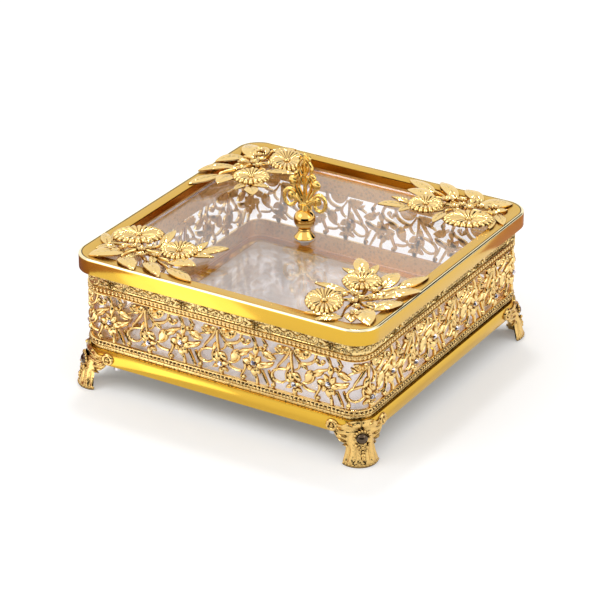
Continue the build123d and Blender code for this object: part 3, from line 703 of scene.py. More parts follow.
def border_pieces():
    """Every element of one repeat of the upper border."""
    outline = []
    for step in range(9):
        angle = -pi / 2 + pi * step / 8
        x = PILL_REACH - PILL_TALL + PILL_TALL * cos(angle)
        outline.append((x, PILL_LEVEL + PILL_TALL * sin(angle)))
    outline += [(-x, 2 * PILL_LEVEL - y) for x, y in outline]
    outline.append(outline[0])
    pill = [(PILL_MIDDLE + x, y, 1.5) for x, y in outline]
    vine = [(PILL_MIDDLE + x, PILL_LEVEL + 0.9 * sin(x * 0.75), 0.9) for x in range(-13, 14)]
    makers = [(PILL_MIDDLE, lambda bm: strand(bm, pill, rise=1.0, back=BORDER_BACK, steps=1, blunt=1.0)),
              (PILL_MIDDLE, lambda bm: strand(bm, vine, rise=0.7, back=BORDER_BACK, steps=1))]
    for index in range(VINE_LEAVES):
        x = PILL_MIDDLE + (index - VINE_LEAVES // 2) * VINE_PITCH
        up = 1 if index % 2 else -1
        root, tip = (x - 0.7, PILL_LEVEL + 0.4 * up), (x + 0.9, PILL_LEVEL + 2.3 * up)
        makers.append((x, border_leaf(root, tip, 1.5, 0.8)))
        makers.append((x, lambda bm, x=x, up=up: ball(bm, x + 0.2, PILL_LEVEL - 1.9 * up, 0.62, z=0.2)))
    middle = PILL_MIDDLE + PITCH / 2
    for side in (-1, 1):
        for root, tip, width in BORDER_LEAVES:
            start, end = (middle + side * root[0], root[1]), (middle + side * tip[0], tip[1])
            makers.append((middle + side * 3, border_leaf(start, end, width, 1.0)))
        makers.append((middle + side * 5, lambda bm, x=middle + side * 7.4: ball(bm, x, -5.6, 0.8, z=0.3)))
    makers.append((middle, lambda bm: border_eyelet(bm, middle, -7.8, 1.7)))
    return [element(middle, draw) for middle, draw in makers]


def border_eyelet(bm, x, y, radius):
    def place(s, t):
        angle, reach = 2 * pi * s, radius * t
        lift = -0.1 + 1.1 * sin(pi * min(1, t * 0.8 + 0.2 * (t > 0.5))) ** 2 * (t > 0.3)
        return x + reach * cos(angle), y + reach * sin(angle), lift
    patch(bm, 12, 4, place, depth=BORDER_BACK)


def rounded(out, low, high, rise, steps=5):
    """Half round line of a profile, between two heights."""
    return [(out + rise * sin(pi * i / steps), low + (high - low) * i / steps) for i in range(steps + 1)]


def side_of(run):
    return SIDES[round(run / (2 * SIDE_RUN)) % 4]


def build_gallery():
    """The relief of the pierced band, and the ground and border that frame it: one piece of each a side."""
    reliefs = {side: bmesh.new() for side in SIDES}
    grounds = {side: bmesh.new() for side in SIDES}
    motif, border, bead, lump = motif_pieces(), border_pieces(), wall_bead(), small_lump()
    for index in range(MOTIFS):
        start = MOTIF_START + MOTIF_SHIFT + index * PITCH
        place = bent(start, WALL_HALF, WALL_CORNER, PIERCED_TOP, up=-1.0)
        for drawings, elements in ((reliefs, motif), (grounds, border)):
            for middle, mesh in elements:
                add_bent(drawings[side_of(start + middle)], mesh, place)
    beads, lumps = BEADS_EACH * MOTIFS, LUMPS_EACH * MOTIFS
    for index in range(beads):
        run = (index + 0.5) * ROUND / beads
        for low, high in ((LOW_BEADS, PIERCED_LOW), (PIERCED_TOP, HIGH_BEADS_TOP)):
            place = bent(run, WALL_HALF, WALL_CORNER, (low + high) / 2, out=0.05)
            add_bent(reliefs[side_of(run)], bead, place)
    for index in range(lumps):
        run = index * ROUND / lumps
        share = (run - MOTIF_START) / PITCH % 1
        tall = 1.0 + 0.35 * cos(2 * pi * share * 3) + 0.25 * (0.4 < share < 0.75)
        place = bent(run, WALL_HALF, WALL_CORNER, LUMP_LEVEL, up=0.8 * tall, out=0.9, swell=0.8)
        add_bent(grounds[side_of(run)], lump, place)
    line_low = [(-WALL_SHEET, LOW_BEADS), (0.3, LOW_BEADS),
                *rounded(0.3, LOW_BEADS, LOW_BEADS + 1.0, 0.75), (0.0, LOW_BEADS + 1.1),
                (0.0, PIERCED_LOW - 1.1), *rounded(0.3, PIERCED_LOW - 1.0, PIERCED_LOW, 0.75),
                (-WALL_SHEET, PIERCED_LOW)]
    line_high = [(out, height + PIERCED_TOP - LOW_BEADS) for out, height in line_low]
    border_ground = [(-WALL_SHEET, HIGH_BEADS_TOP), (0.15, HIGH_BEADS_TOP), (0.15, WALL_TOP - 0.4),
                     (-0.1, WALL_TOP), (-WALL_SHEET, WALL_TOP)]
    foot_ground = [(-WALL_SHEET, LEDGE_TOP), (0.0, LEDGE_TOP), (0.0, 29.4), (0.6, 29.7), (0.9, 30.4),
                   (0.4, LOW_BEADS), (-WALL_SHEET, LOW_BEADS)]
    for number, side in enumerate(SIDES):
        start, end = (2 * number - 1) * SIDE_RUN, (2 * number + 1) * SIDE_RUN
        relief, ground = reliefs[side], grounds[side]
        for drawing, profile in ((relief, line_low), (relief, line_high), (ground, border_ground),
                                 (ground, foot_ground)):
            ring_band(drawing, profile, WALL_HALF, WALL_CORNER, start, end)
        stands_for = [f"gallery_{side}"]
        finish(f"gallery_relief_{side}", relief, "box", stands_for, cast_gold, recalc=False)
        finish(f"gallery_ground_{side}", ground, "box", stands_for, border_gold)


def build_stones():
    """Round brilliants, one mesh a side, in their cups."""
    drawings = {side: bmesh.new() for side in SIDES}
    for index in range(MOTIFS):
        start = MOTIF_START + index * PITCH
        for share, drop in STONES:
            run = start + share * PITCH
            number = round(run / (2 * SIDE_RUN))
            if abs(run - 2 * SIDE_RUN * number) > SIDE_RUN - STONE_KEEP_OFF:
                continue
            bm = drawings[SIDES[number % 4]]
            point, normal = round_square(run, WALL_HALF, WALL_CORNER, 0.95)
            turn = normal.to_track_quat("Z", "Y").to_matrix().to_4x4()
            height = PIERCED_TOP - drop * (PIERCED_TOP - PIERCED_LOW)
            place = Matrix.Translation((point.x, point.y, height)) @ turn
            for low, high, wide, narrow in ((0.0, 0.35, 1.6, 1.6), (0.35, 1.15, 1.6, 0.85)):
                middle = place @ Matrix.Translation((0, 0, (low + high) / 2))
                bmesh.ops.create_cone(bm, cap_ends=True, segments=8, radius1=wide, radius2=narrow,
                                      depth=high - low, matrix=middle)
    for side in SIDES:
        finish(f"set_stones_{side}", drawings[side], "box", [f"stones_{side}"], stone_clear,
               smooth=5.0)


# ------------------------------------------------------------------ rim and lid frame
def build_rim():
    """Polished band round the foot of the wall, with the ledge inside that carries the floor."""
    bm = bmesh.new()
    profile = [(-1.5, LEDGE_TOP), (-1.5, RIM_TOP), (-1.1, RIM_TOP), (-0.3, RIM_TOP - 0.15),
               (0, RIM_TOP - 0.6), (0, RIM_LOW + 0.6), (-0.25, RIM_LOW + 0.12), (-0.7, RIM_LOW),
               (-1.5, RIM_LOW), (-1.5, RIM_LOW + 2.0), (-10.8, RIM_LOW + 2.0), (-10.8, LEDGE_TOP)]
    full_ring(bm, profile, RIM_HALF, RIM_CORNER, steps=10)
    finish("base_band", bm, "box", ["base_rim"], sheet_gold, smooth=35)


def build_lid_frame():
    """Skirt, bevel paled as a painted highlight, flat flange behind a seam painted dark as a painted shadow,
    and the lip that drops to the pane.
    """
    top, inner = LID_TOP, OPENING_HALF - LID_HALF
    skirt = [(-1.2, SKIRT_LOW), (-0.2, SKIRT_LOW + 0.1), (0, SKIRT_LOW + 0.5), (0, top - 1.0),
             (-0.1, top - 0.9), (-1.2, top - 0.9)]
    bevel = [(-1.2, top - 0.9), (-0.1, top - 0.9), (-0.14, top - 0.75), (-0.6, top - 0.12), (-0.9, top),
             (-1.35, top), (-1.4, top - 0.05), (-1.4, top - 0.9)]
    seam = [(-1.4, top - 0.9), (-1.4, top - 0.35), (-1.9, top - 0.35), (-1.9, top - 0.9)]
    flange = [(-1.9, top - 0.9), (-1.9, top - 0.12), (-1.96, top - 0.03), (inner + 0.5, top - 0.03),
              (inner + 0.12, top - 0.16), (inner, top - 0.5), (inner, top - 0.9)]
    lip = [(inner, top - 1.0), (inner, top - 0.5), (inner + 0.02, top - 0.5), (inner + 1.0, top - 0.5),
           (inner + 1.0, PANE_TOP), (inner, PANE_TOP)]
    for name, profile, material in (("lid_skirt", skirt, sheet_gold), ("lid_bevel", bevel, bevel_painted_highlight),
                                    ("lid_seam", seam, seam_painted_shadow), ("lid_flange", flange, flange_gold),
                                    ("lid_lip", lip, lip_gold)):
        bm = bmesh.new()
        lid_ring(bm, profile)
        finish(name, bm, "lid", ["lid_frame"], material, smooth=35)


def lid_ring(bm, points):
    """Ring of the lid; its opening has a tighter corner than its outside, so each point has its own."""
    steps = 12
    lip = LID_HALF - OPENING_HALF
    stations = [(corner, step / steps) for corner in range(4) for step in range(steps + 1)]
    ring, edges = first_ring(bm, len(points))
    for index, (corner, share) in enumerate(stations + stations[:1]):
        if index:
            ring, edges = next_ring(bm, ring, edges)
        angle = -pi / 2 + (corner + share) * pi / 2
        for vert, (out, height) in zip(ring, points):
            half = LID_HALF + out
            radius = OPENING_CORNER + (LID_CORNER - OPENING_CORNER) * (out + lip) / lip
            centre = Matrix.Rotation(corner * pi / 2, 2) @ Vector((half - radius, radius - half))
            vert.co = Vector((centre.x + radius * cos(angle), centre.y + radius * sin(angle), height))
    bmesh.ops.remove_doubles(bm, verts=bm.verts, dist=RING_WELD)


# ------------------------------------------------------------------ feet
# Leaves of a wing: root and tip from the corner's middle and the rim's underside, width.
WING_LEAVES = (((9.4, 3.4), (15.0, 4.6), 2.0), ((7.6, -0.4), (14.4, 1.0), 2.6),
               ((8.0, -3.4), (14.2, -2.2), 2.6), ((5.0, -4.6), (10.6, -6.3), 2.4),
               ((4.6, 6.6), (8.2, 8.6), 2.0))


def wing(bm, side):
    """Leaf wing that wraps the rim: a ribbed blade that ends in a round scroll."""
    # Edges of the blade: along from the corner's middle, up from the rim's underside.
    top = [(0.0, 9.6), (4.0, 9.6), (7.4, 8.6), (10.4, 6.2), (13.2, 6.0), (15.4, 7.4)]
    low = [(0.0, -6.6), (5.0, -6.2), (8.8, -5.0), (12.0, -4.0), (14.8, -1.6), (16.4, 1.6)]
    top, low = smooth_path(top, 3), smooth_path(low, 3)

    def place(s, t):
        index = min(int(s * (len(top) - 1)), len(top) - 2)
        part = s * (len(top) - 1) - index
        x1, y1 = (a + (b - a) * part for a, b in zip(top[index], top[index + 1]))
        x0, y0 = (a + (b - a) * part for a, b in zip(low[index], low[index + 1]))
        dome = sin(pi * min(1, max(0, t * 0.94 + 0.03))) ** 0.5
        ribs = 0.5 + 0.5 * cos(2 * pi * (3.5 * t + 0.6 * s))
        lift = 0.5 + 1.3 * dome * (0.4 + 0.6 * ribs)
        return side * (x0 + (x1 - x0) * t), RIM_LOW + y0 + (y1 - y0) * t, lift
    patch(bm, 14, 14, place, depth=-0.4)
    middle, level = 17.4, RIM_LOW + 4.6

    def scroll(s, t):
        angle, reach = 2 * pi * s, 3.9 * t
        lift = 0.6 + 1.1 * abs(cos(pi * (1.55 * t - 0.12 * angle / pi))) ** 0.8 * (1 if t < 0.97 else 0.3)
        return side * (middle + reach * cos(angle)), level + reach * sin(angle), lift
    patch(bm, 28, 9, scroll, depth=-0.4)
    ball(bm, side * (middle - 0.4), level, 1.05, z=1.2)
    for root, tip, width in WING_LEAVES:
        start, end = ((side * x, RIM_LOW + y) for x, y in (root, tip))
        leaf(bm, start, end, width, rise=2.4, back=0.0, ribs=3)


# Sections of a leg: height over the sole, radius, reach of its front past the rim's corner.
LEG_SECTIONS = ((0.0, 11.2, 7.0), (0.9, 11.3, 7.1), (2.4, 11.0, 6.9), (4.6, 10.1, 6.3), (7.2, 9.2, 5.7),
                (10.4, 8.7, 5.0), (14.0, 8.6, 4.0), (20.2, 8.6, 2.5))
LEG_TOP = LEG_SECTIONS[-1][0]
LEG_LEAN, LEG_HOLLOW, LEG_WALL = 8.0, 10.0, 3.2
LEG_FRONT = 0.75
FLUTE_STEP, FLUTE_DEPTH, FLUTES_LOW, FLUTES_HIGH = 124 / 4.5, 0.75, 1.8, 12.4


def leg_section(height):
    """Radius and front reach of a leg at a height over the sole."""
    for low, high in zip(LEG_SECTIONS, LEG_SECTIONS[1:]):
        if height <= high[0]:
            share = (height - low[0]) / (high[0] - low[0])
            return [a + (b - a) * share for a, b in zip(low[1:], high[1:])]
    return list(LEG_SECTIONS[-1][1:])


def leg_shell(s, t):
    """Closed loop of a leg's section: s up to LEG_FRONT runs round the fluted front, the rest inside."""
    height = LEG_TOP * t
    radius, reach = leg_section(height)
    centre = RIM_DIAGONAL + reach - radius
    back = RIM_DIAGONAL - height * tan(radians(LEG_LEAN))
    if s <= LEG_FRONT:
        widest = acos(max(-1, min(1, (back - centre) / radius)))
        angle = widest * (2 * s / LEG_FRONT - 1)
        fade = min(1, max(0, (height - FLUTES_LOW) / 1.4)) * min(1, max(0, (FLUTES_HIGH - height) / 2.5))
        groove = abs(cos(pi * angle / radians(FLUTE_STEP))) ** 5
        bound = radius - FLUTE_DEPTH * groove * fade
        return centre + bound * cos(angle), bound * sin(angle), height
    share = (s - LEG_FRONT) / (1 - LEG_FRONT)
    inner = radius - LEG_WALL
    end = acos(max(-1, min(1, (back - centre) / inner)))
    angle = end * (1 - 2 * share)
    x = centre + inner * cos(angle)
    if height > LEG_HOLLOW:
        x = back
    return x, inner * sin(angle), height


# Beads under the dome: out from the rim's corner, aside, down from near the rim's underside, radius.
PENDANT_BEADS = ((4.1, 2.5, -5.6, 1.1), (4.1, -2.5, -5.6, 1.1), (4.5, 0, -5.9, 1.2),
                 (4.2, 3.9, -4.0, 1.0), (4.2, -3.9, -4.0, 1.0), (5.1, 0, -8.2, 1.0), (5.6, 0, -10.2, 1.5),
                 (6.1, 0, -12.0, 1.1), (4.9, 2.1, -7.6, 0.8), (4.9, -2.1, -7.6, 0.8))


def build_feet():
    """Each foot: two wings, a fluted leg with a beaded sole, and a dome painted near black as a painted dark
    reflection, in a ring of beads.
    """
    for corner, name in enumerate(CORNERS):
        bm = bmesh.new()
        flat = bmesh.new()
        for side in (-1, 1):
            wing(flat, side)
        bmesh.ops.remove_doubles(flat, verts=flat.verts, dist=WELD)
        add_bent(bm, mesh_from("wing", flat), bent((1 + 2 * corner) * RIM_RUN, RIM_HALF, RIM_CORNER, 0.0))
        turn = Matrix.Rotation(radians(-45 + 90 * corner), 4, "Z")
        start = len(bm.verts)
        verts = patch(bm, 120, 26, leg_shell)
        bmesh.ops.remove_doubles(bm, verts=verts, dist=WELD)
        ends = []
        for edge in bm.edges:
            one, other = (vert.co for vert in edge.verts)
            level = abs(one.z - other.z) < 0.001 and (one.z < 0.01 or abs(one.z - LEG_TOP) < 0.01)
            if edge.is_boundary and level and one.x > RIM_DIAGONAL - 12:
                ends.append(edge)
        bmesh.ops.holes_fill(bm, edges=ends, sides=0)
        sole, reach = LEG_SECTIONS[1][1:]
        middle = RIM_DIAGONAL + reach - sole
        for index in range(13):
            angle = radians(-66 + 11 * index)
            bead(bm, middle + (sole - 0.4) * cos(angle), (sole - 0.4) * sin(angle), 1.1, 0.9)
        dome = (RIM_DIAGONAL + 1.6, 0.0, RIM_LOW - 0.6)
        boss = bmesh.new()
        bmesh.ops.create_uvsphere(boss, u_segments=28, v_segments=16, radius=3.7,
                                  matrix=turn @ Matrix.Translation(dome))
        finish(f"foot_boss_{name}", boss, "box", [f"foot_{name}"], boss_painted_dark_reflection, smooth=50)
        for index in range(9):
            angle = pi * (index + 0.5) / 9
            bead(bm, dome[0] + 0.9, 4.7 * cos(angle), dome[2] + 4.7 * sin(angle), 0.85)
        for x, y, z, radius in PENDANT_BEADS:
            bead(bm, RIM_DIAGONAL + x, y, RIM_LOW + z + 0.4, radius)
        bm.verts.ensure_lookup_table()
        for vert in bm.verts[start:]:
            vert.co = turn @ vert.co
        finish(f"cast_foot_{name}", bm, "box", [f"foot_{name}"], foot_gold, smooth=50)


def bead(bm, x, y, z, radius):
    bmesh.ops.create_icosphere(bm, subdivisions=2, radius=radius, matrix=Matrix.Translation((x, y, z)))


# ------------------------------------------------------------------ knob
# The ball's radius, and the angle from its middle height at which it is cut off flat.
BALL_RADIUS, BALL_CUT = 6.5, 65.2
KNOB_TOP = 36.0


def build_knob():
    bm = bmesh.new()
    bell = [(2.0, 0.0), (6.3, 0.0), (6.45, 0.35), (6.3, 0.8), (5.7, 1.3), (4.9, 2.4), (4.2, 3.4),
            (3.6, 4.3), (3.4, 4.8), (3.9, 5.2), (3.9, 5.6), (3.6, 5.9), (2.0, 5.9)]
    lathe(bm, [(radius, COLLAR_LOW + height) for radius, height in bell])
    finish("knob_bell", bm, "lid", ["knob_collar"], ball_gold, smooth=45)
    bm = bmesh.new()
    angles = [radians(BALL_CUT * (2 * step / 24 - 1)) for step in range(25)]
    arc = [(BALL_RADIUS * cos(angle), BALL_MIDDLE + BALL_RADIUS * sin(angle)) for angle in angles]
    lathe(bm, [(1.7, arc[0][1]), *arc, (1.7, arc[-1][1])])
    finish("knob_bright_ball", bm, "lid", ["knob_ball"], ball_gold, smooth=45)
    build_palmette()


def lathe(bm, profile, segments=48):
    """Closed turning from (radius, height) points about the middle axis."""
    verts = [bm.verts.new((radius, 0, height)) for radius, height in profile]
    edges = [bm.edges.new(pair) for pair in zip(verts, verts[1:] + verts[:1])]
    bmesh.ops.spin(bm, geom=verts + edges, cent=(0, 0, 0), axis=(0, 0, 1), angle=2 * pi, steps=segments,
                   use_merge=True)
    bmesh.ops.remove_doubles(bm, verts=bm.verts, dist=RING_WELD)


def build_palmette():
    """Openwork palmette, drawn in the plane of the lid's width and its height, from the ball's top."""
    bm = bmesh.new()
    half = [((0.0, 1.0, 3.0), (0.0, 8.0, 2.2), (0.0, 16.0, 1.6), (0.0, 25.0, 1.4), (0.0, 33.0, 1.6),
             (0.0, 35.6, 0.8)),
            ((1.6, 3.6, 3.4), (3.4, 5.6, 3.8), (5.8, 7.0, 3.8), (8.6, 7.2, 3.0)),
            ((2.8, 6.0, 1.6), (4.4, 10.0, 1.5), (6.6, 14.0, 1.5), (7.0, 17.5, 1.5), (5.2, 20.5, 1.4),
             (3.4, 22.8, 1.2)),
            ((1.2, 7.0, 1.5), (2.9, 11.0, 1.4), (4.2, 14.6, 1.3), (3.6, 18.6, 1.2), (1.4, 22.0, 1.2)),
            ((1.0, 16.0, 1.1), (2.4, 20.0, 1.3), (4.3, 24.0, 1.3), (4.6, 27.5, 1.3), (3.4, 30.4, 1.2),
             (1.0, 33.4, 1.4)),
            ((0.6, 22.4, 1.1), (1.9, 25.4, 1.1), (1.9, 28.4, 1.0), (0.6, 31.0, 1.1)),
            ((4.0, 23.4, 1.2), (6.2, 22.6, 1.3), (6.8, 20.6, 1.1), (5.6, 19.6, 1.0)),
            ((2.6, 31.2, 1.2), (3.4, 33.2, 1.0), (2.6, 34.4, 0.7))]
    for line in half:
        for side in ((1, -1) if any(x for x, _, _ in line) else (1,)):
            plate(bm, [(side * x, z, 1.3 * width) for x, z, width in line])
    for side in (1, -1):
        angles = [pi * (1.15 - step * 0.2) for step in range(11)]
        plate(bm, [(side * (10.1 + 4.0 * cos(angle)), 6.2 + 5.2 * sin(angle), 2.2) for angle in angles])
        for rounds, middle, half_size in ((20, (side * 9.2, 0, 7.2), (2.3, 1.3, 2.9)),
                                          (16, (side * 7.9, 0, 17.2), (3.0, 1.5, 3.4))):
            place = Matrix.Translation(middle) @ Matrix.Diagonal((*half_size, 1))
            bmesh.ops.create_uvsphere(bm, u_segments=rounds, v_segments=rounds // 2, radius=1.0,
                                      matrix=place)
    fan_shape = [(-3.0, 0.4, 3.6), (-2.2, 2.8, 3.4), (0, 3.6, 4.6), (2.2, 2.8, 3.4), (3.0, 0.4, 3.6)]
    plate(bm, fan_shape, thick=1.1)
    bmesh.ops.create_cone(bm, cap_ends=True, segments=24, radius1=2.5, radius2=1.9, depth=3.4,
                          matrix=Matrix.Translation((0, 0, 1.7)))
    for vert in bm.verts:
        vert.co.z = min(vert.co.z, KNOB_TOP)
        vert.co += Vector((0, 0, PALMETTE_LOW))
    finish("knob_openwork", bm, "lid", ["knob_palmette"], knob_gold, smooth=50)


def plate(bm, points, thick=0.95):
    """Strand with both faces rounded, standing in the lid's middle plane."""
    flat = bmesh.new()
    strand(flat, points, rise=thick, back=-thick, steps=4)
    for vert in flat.verts:
        x, y, z = vert.co
        vert.co = Vector((x, -z, y))
    bm.from_mesh(mesh_from("plate", flat))


# ------------------------------------------------------------------ flower sprays
# Leaves: root and tip as distances from the lid's right and front edges, width, arch and height of the tip.
SPRAY_LEAVES = (
    ((38, 61.5), (52.5, 63), 5.6, 1.2, 2.2), ((40, 65), (50.5, 78.5), 9.0, 1.6, 2.6),
    ((35.5, 63), (36.5, 77), 5.4, 1.2, 2.4), ((21.5, 56), (22, 74), 10.5, 1.8, 2.0),
    ((14, 60), (6, 81), 8.4, 1.2, 0.8), ((15, 44), (0.9, 62.5), 8.4, 2.2, 1.2),
    ((12.5, 28.5), (2.0, 44.5), 9.6, 2.0, 0.9), ((19.5, 26.5), (4.8, 11.0), 12.5, 2.2, 0.5),
    ((23, 12), (34.5, 1.8), 6.4, 1.2, 0.5), ((36, 40.5), (56, 38), 6.4, 1.6, 2.2),
    ((22, 19), (15, 9.5), 7.6, 1.4, 0.6), ((31, 44), (42, 47), 5.0, 1.0, 1.4),
    ((27, 13), (44, 6.2), 5.2, 1.0, 0.6), ((24, 44), (13, 50), 5.4, 1.2, 1.2),
    ((20, 34), (9.5, 33), 4.4, 1.0, 1.4),
)
SPRAY_STARS = ((29, 38, 3.4), (26, 29.5, 3.2), (22.5, 47, 3.2), (30.5, 46, 2.8), (18, 38.5, 3.2),
               (24.5, 35, 3.0), (34, 33.5, 2.6), (17.5, 17.5, 3.4), (27, 51, 2.6), (21, 24.5, 2.6))
SPRAY_STEMS = (((25, 34), (38, 61.5)), ((25, 34), (40, 65)), ((25, 34), (21.5, 56)), ((22, 46), (14, 60)),
               ((25, 34), (15, 44)), ((25, 33), (12.5, 28.5)), ((25, 33), (19.5, 26.5)),
               ((26, 32), (23, 12)), ((27, 36), (36, 40.5)), ((26, 34), (40, 22)), ((25, 34), (35.5, 63)),
               ((26, 36), (34.5, 54.5)))


# Daisies: distances of the middle from the same edges, long and short width, turn in degrees, petals.
SPRAY_DAISIES = ((40.4, 22.2, 31.0, 22.5, 121, 22), (34.5, 54.5, 23.5, 22.0, 20, 20))
DAISY_LIFT = 0.3
# What reaches over the lid's edge is pushed back to here, so that it stays inside the solid lid.
SPRAY_EDGE = 99.9


def blade(bm, root, tip, width, arch, tip_height, lift=0.6, cup=0.9):
    """Cast leaf in space: arched along its length, cupped across, with a midrib and veins; bm is in mm."""
    start, reach = Vector((root[0], root[1], 0)), Vector((tip[0] - root[0], tip[1] - root[1], 0))
    aside = Vector((-reach.y, reach.x, 0)).normalized()

    def place(s, t):
        side = 2 * t - 1
        spread = sin(pi * (s * 0.96 + 0.03) ** 0.85) ** 0.75
        point = start + reach * s + aside * (side * width / 2 * spread)
        height = lift + (tip_height - lift) * s + arch * sin(pi * s) ** 0.9
        rolled = -cup * (abs(side) ** 2.2) * spread
        rib = 0.8 * exp(-(side / 0.13) ** 2) * (1 - s)
        vein = 0.34 * cos(2 * pi * (4.5 * s - 1.1 * abs(side))) * (1 - side ** 4) * spread
        lip = 0.45 * exp(-((abs(side) - 0.93) / 0.07) ** 2)
        return point.x, point.y, height + rolled - rib + vein + lip
    verts = patch(bm, 16, 12, place)
    thicken(bm, verts, 0.75)


def thicken(bm, verts, depth):
    """Gives an open sheet of faces a lower side and a closed edge."""
    faces = once(face for vert in verts for face in vert.link_faces)
    low = bmesh.ops.duplicate(bm, geom=list(verts) + faces)["geom"]
    copies = [item for item in low if isinstance(item, bmesh.types.BMFace)]
    bmesh.ops.reverse_faces(bm, faces=copies)
    rim = [edge for face in faces for edge in face.edges if edge.is_boundary]
    twins = [edge for face in copies for edge in face.edges if edge.is_boundary]
    for item in low:
        if isinstance(item, bmesh.types.BMVert):
            item.co.z -= depth
    bmesh.ops.bridge_loops(bm, edges=once(rim) + once(twins))


def daisy(bm, long, short, petals, rise=3.6):
    """Oval daisy: narrow fluted petals round a domed and dimpled button."""
    def petal(s, t):
        angle = 2 * pi * s
        across = abs(((s * petals) % 1) * 2 - 1)
        share = 0.1 + 0.9 * t * (1 - 0.1 * across ** 3 * max(0, t - 0.6) / 0.4)
        crown = 0.35 + (rise - 0.8) * sin(pi / 2 * min(1, 0.25 + 0.95 * t)) - 25.0 * max(0, t - 0.72) ** 2
        height = crown + (0.25 + 1.0 * t) * ((1 - across ** 2) ** 0.6 - 0.6)
        return share * long / 2 * cos(angle), share * short / 2 * sin(angle), max(0.3, height)
    thicken(bm, patch(bm, petals * 6, 10, petal), 0.5)
    button = 0.075 * (long + short) / 2

    def dome(s, t):
        angle, reach = 2 * pi * s, button * t
        return (reach * cos(angle), reach * sin(angle),
                rise - 2.0 + 1.5 * sqrt(max(0, 1 - (t * 0.96) ** 2)) + 0.2 * cos(7 * angle) * sin(9 * t))
    patch(bm, 24, 7, dome, depth=0.6)


def star_flower(bm, x, y, radius, turn):
    """Small five petalled flower with a bead in the middle."""
    def place(s, t):
        angle = 2 * pi * s
        lobe = abs(cos(2.5 * angle + turn))
        reach = radius * t * (0.5 + 0.5 * lobe ** 0.7)
        height = 1.1 + 1.5 * t ** 0.8 + 0.35 * lobe * t - 0.8 * max(0, t - 0.8)
        return x + reach * cos(angle), y + reach * sin(angle), height
    verts = patch(bm, 30, 5, place)
    thicken(bm, verts, 0.6)
    bead(bm, x, y, 1.9, radius * 0.27)


def stalk(bm, start, end, width=1.5, rise=1.9):
    (x0, y0), (x1, y1) = start, end
    bow = 0.08
    middle = ((x0 + x1) / 2 - (y1 - y0) * bow, (y0 + y1) / 2 + (x1 - x0) * bow)
    line = [(x0, y0, width), (*middle, width * 0.8), (x1, y1, width * 0.9)]
    strand(bm, line, rise=rise, back=0.1, steps=4)


def spray_mesh():
    """One spray in lid coordinates for the front right corner, over the lid's top face."""
    bm = bmesh.new()
    for root, tip, width, arch, height in SPRAY_LEAVES:
        blade(bm, root, tip, width, arch, height)
    for start, end in SPRAY_STEMS:
        stalk(bm, start, end)
    for index, (x, y, radius) in enumerate(SPRAY_STARS):
        star_flower(bm, x, y, radius, index * 0.9)
    bmesh.ops.remove_doubles(bm, verts=bm.verts, dist=WELD)
    for vert in bm.verts:
        vert.co.x = LID_HALF - vert.co.x
        vert.co.y = vert.co.y - LID_HALF
    for x, y, long, short, turn, petals in SPRAY_DAISIES:
        flower = bmesh.new()
        daisy(flower, long, short, petals)
        bmesh.ops.remove_doubles(flower, verts=flower.verts, dist=WELD)
        spin = Matrix.Rotation(radians(turn), 3, "Z")
        for vert in flower.verts:
            vert.co = spin @ vert.co + Vector((LID_HALF - x, y - LID_HALF, DAISY_LIFT))
        bm.from_mesh(mesh_from("daisy", flower))
    bmesh.ops.recalc_face_normals(bm, faces=bm.faces)
    return mesh_from("spray", bm)


def build_sprays():
    mesh = spray_mesh()
    for turns, corner in enumerate(CORNERS):
        bm = bmesh.new()
        bm.from_mesh(mesh)
        place = Matrix.Rotation(turns * pi / 2, 4, "Z") @ Matrix.Translation((0, 0, LID_TOP))
        for vert in bm.verts:
            co = place @ vert.co
            x, y = (max(-SPRAY_EDGE, min(SPRAY_EDGE, part)) for part in co.xy)
            vert.co = Vector((x, y, co.z))
        finish(f"flower_spray_{corner}", bm, "lid", [f"spray_{corner}"], leaf_gold, smooth=50,
               recalc=False)


# ------------------------------------------------------------------ stage, light and camera
WORLD_LIGHT, FLOOR_SIZE = 0.8, 6000
# Painted glow on the floor: where it sets in, in metres from the box's middle, and how strong it is there and
# beyond; the zone near the box, left without it, is painted shade in the box's outline.
FLOOR_PAINTED_SHADE_FADE, FLOOR_PAINTED_GLOW, FLOOR_PAINTED_GLOW_BACK = (0.082, 0.106), (0.0, 0.24), 0.006
BLACK, BROWN, PALE_BROWN = (0.0, 0.0, 0.0), (0.42, 0.22, 0.2), (0.75, 0.44, 0.36)


def seen_rays(tree):
    """1 for rays from the camera, from a mirror or through glass, and 0 for the rays that light a surface."""
    path = tree.nodes.new("ShaderNodeLightPath")
    seen = maths(tree, "MAXIMUM", path.outputs["Is Camera Ray"], path.outputs["Is Glossy Ray"])
    return maths(tree, "MAXIMUM", seen, path.outputs["Is Transmission Ray"])


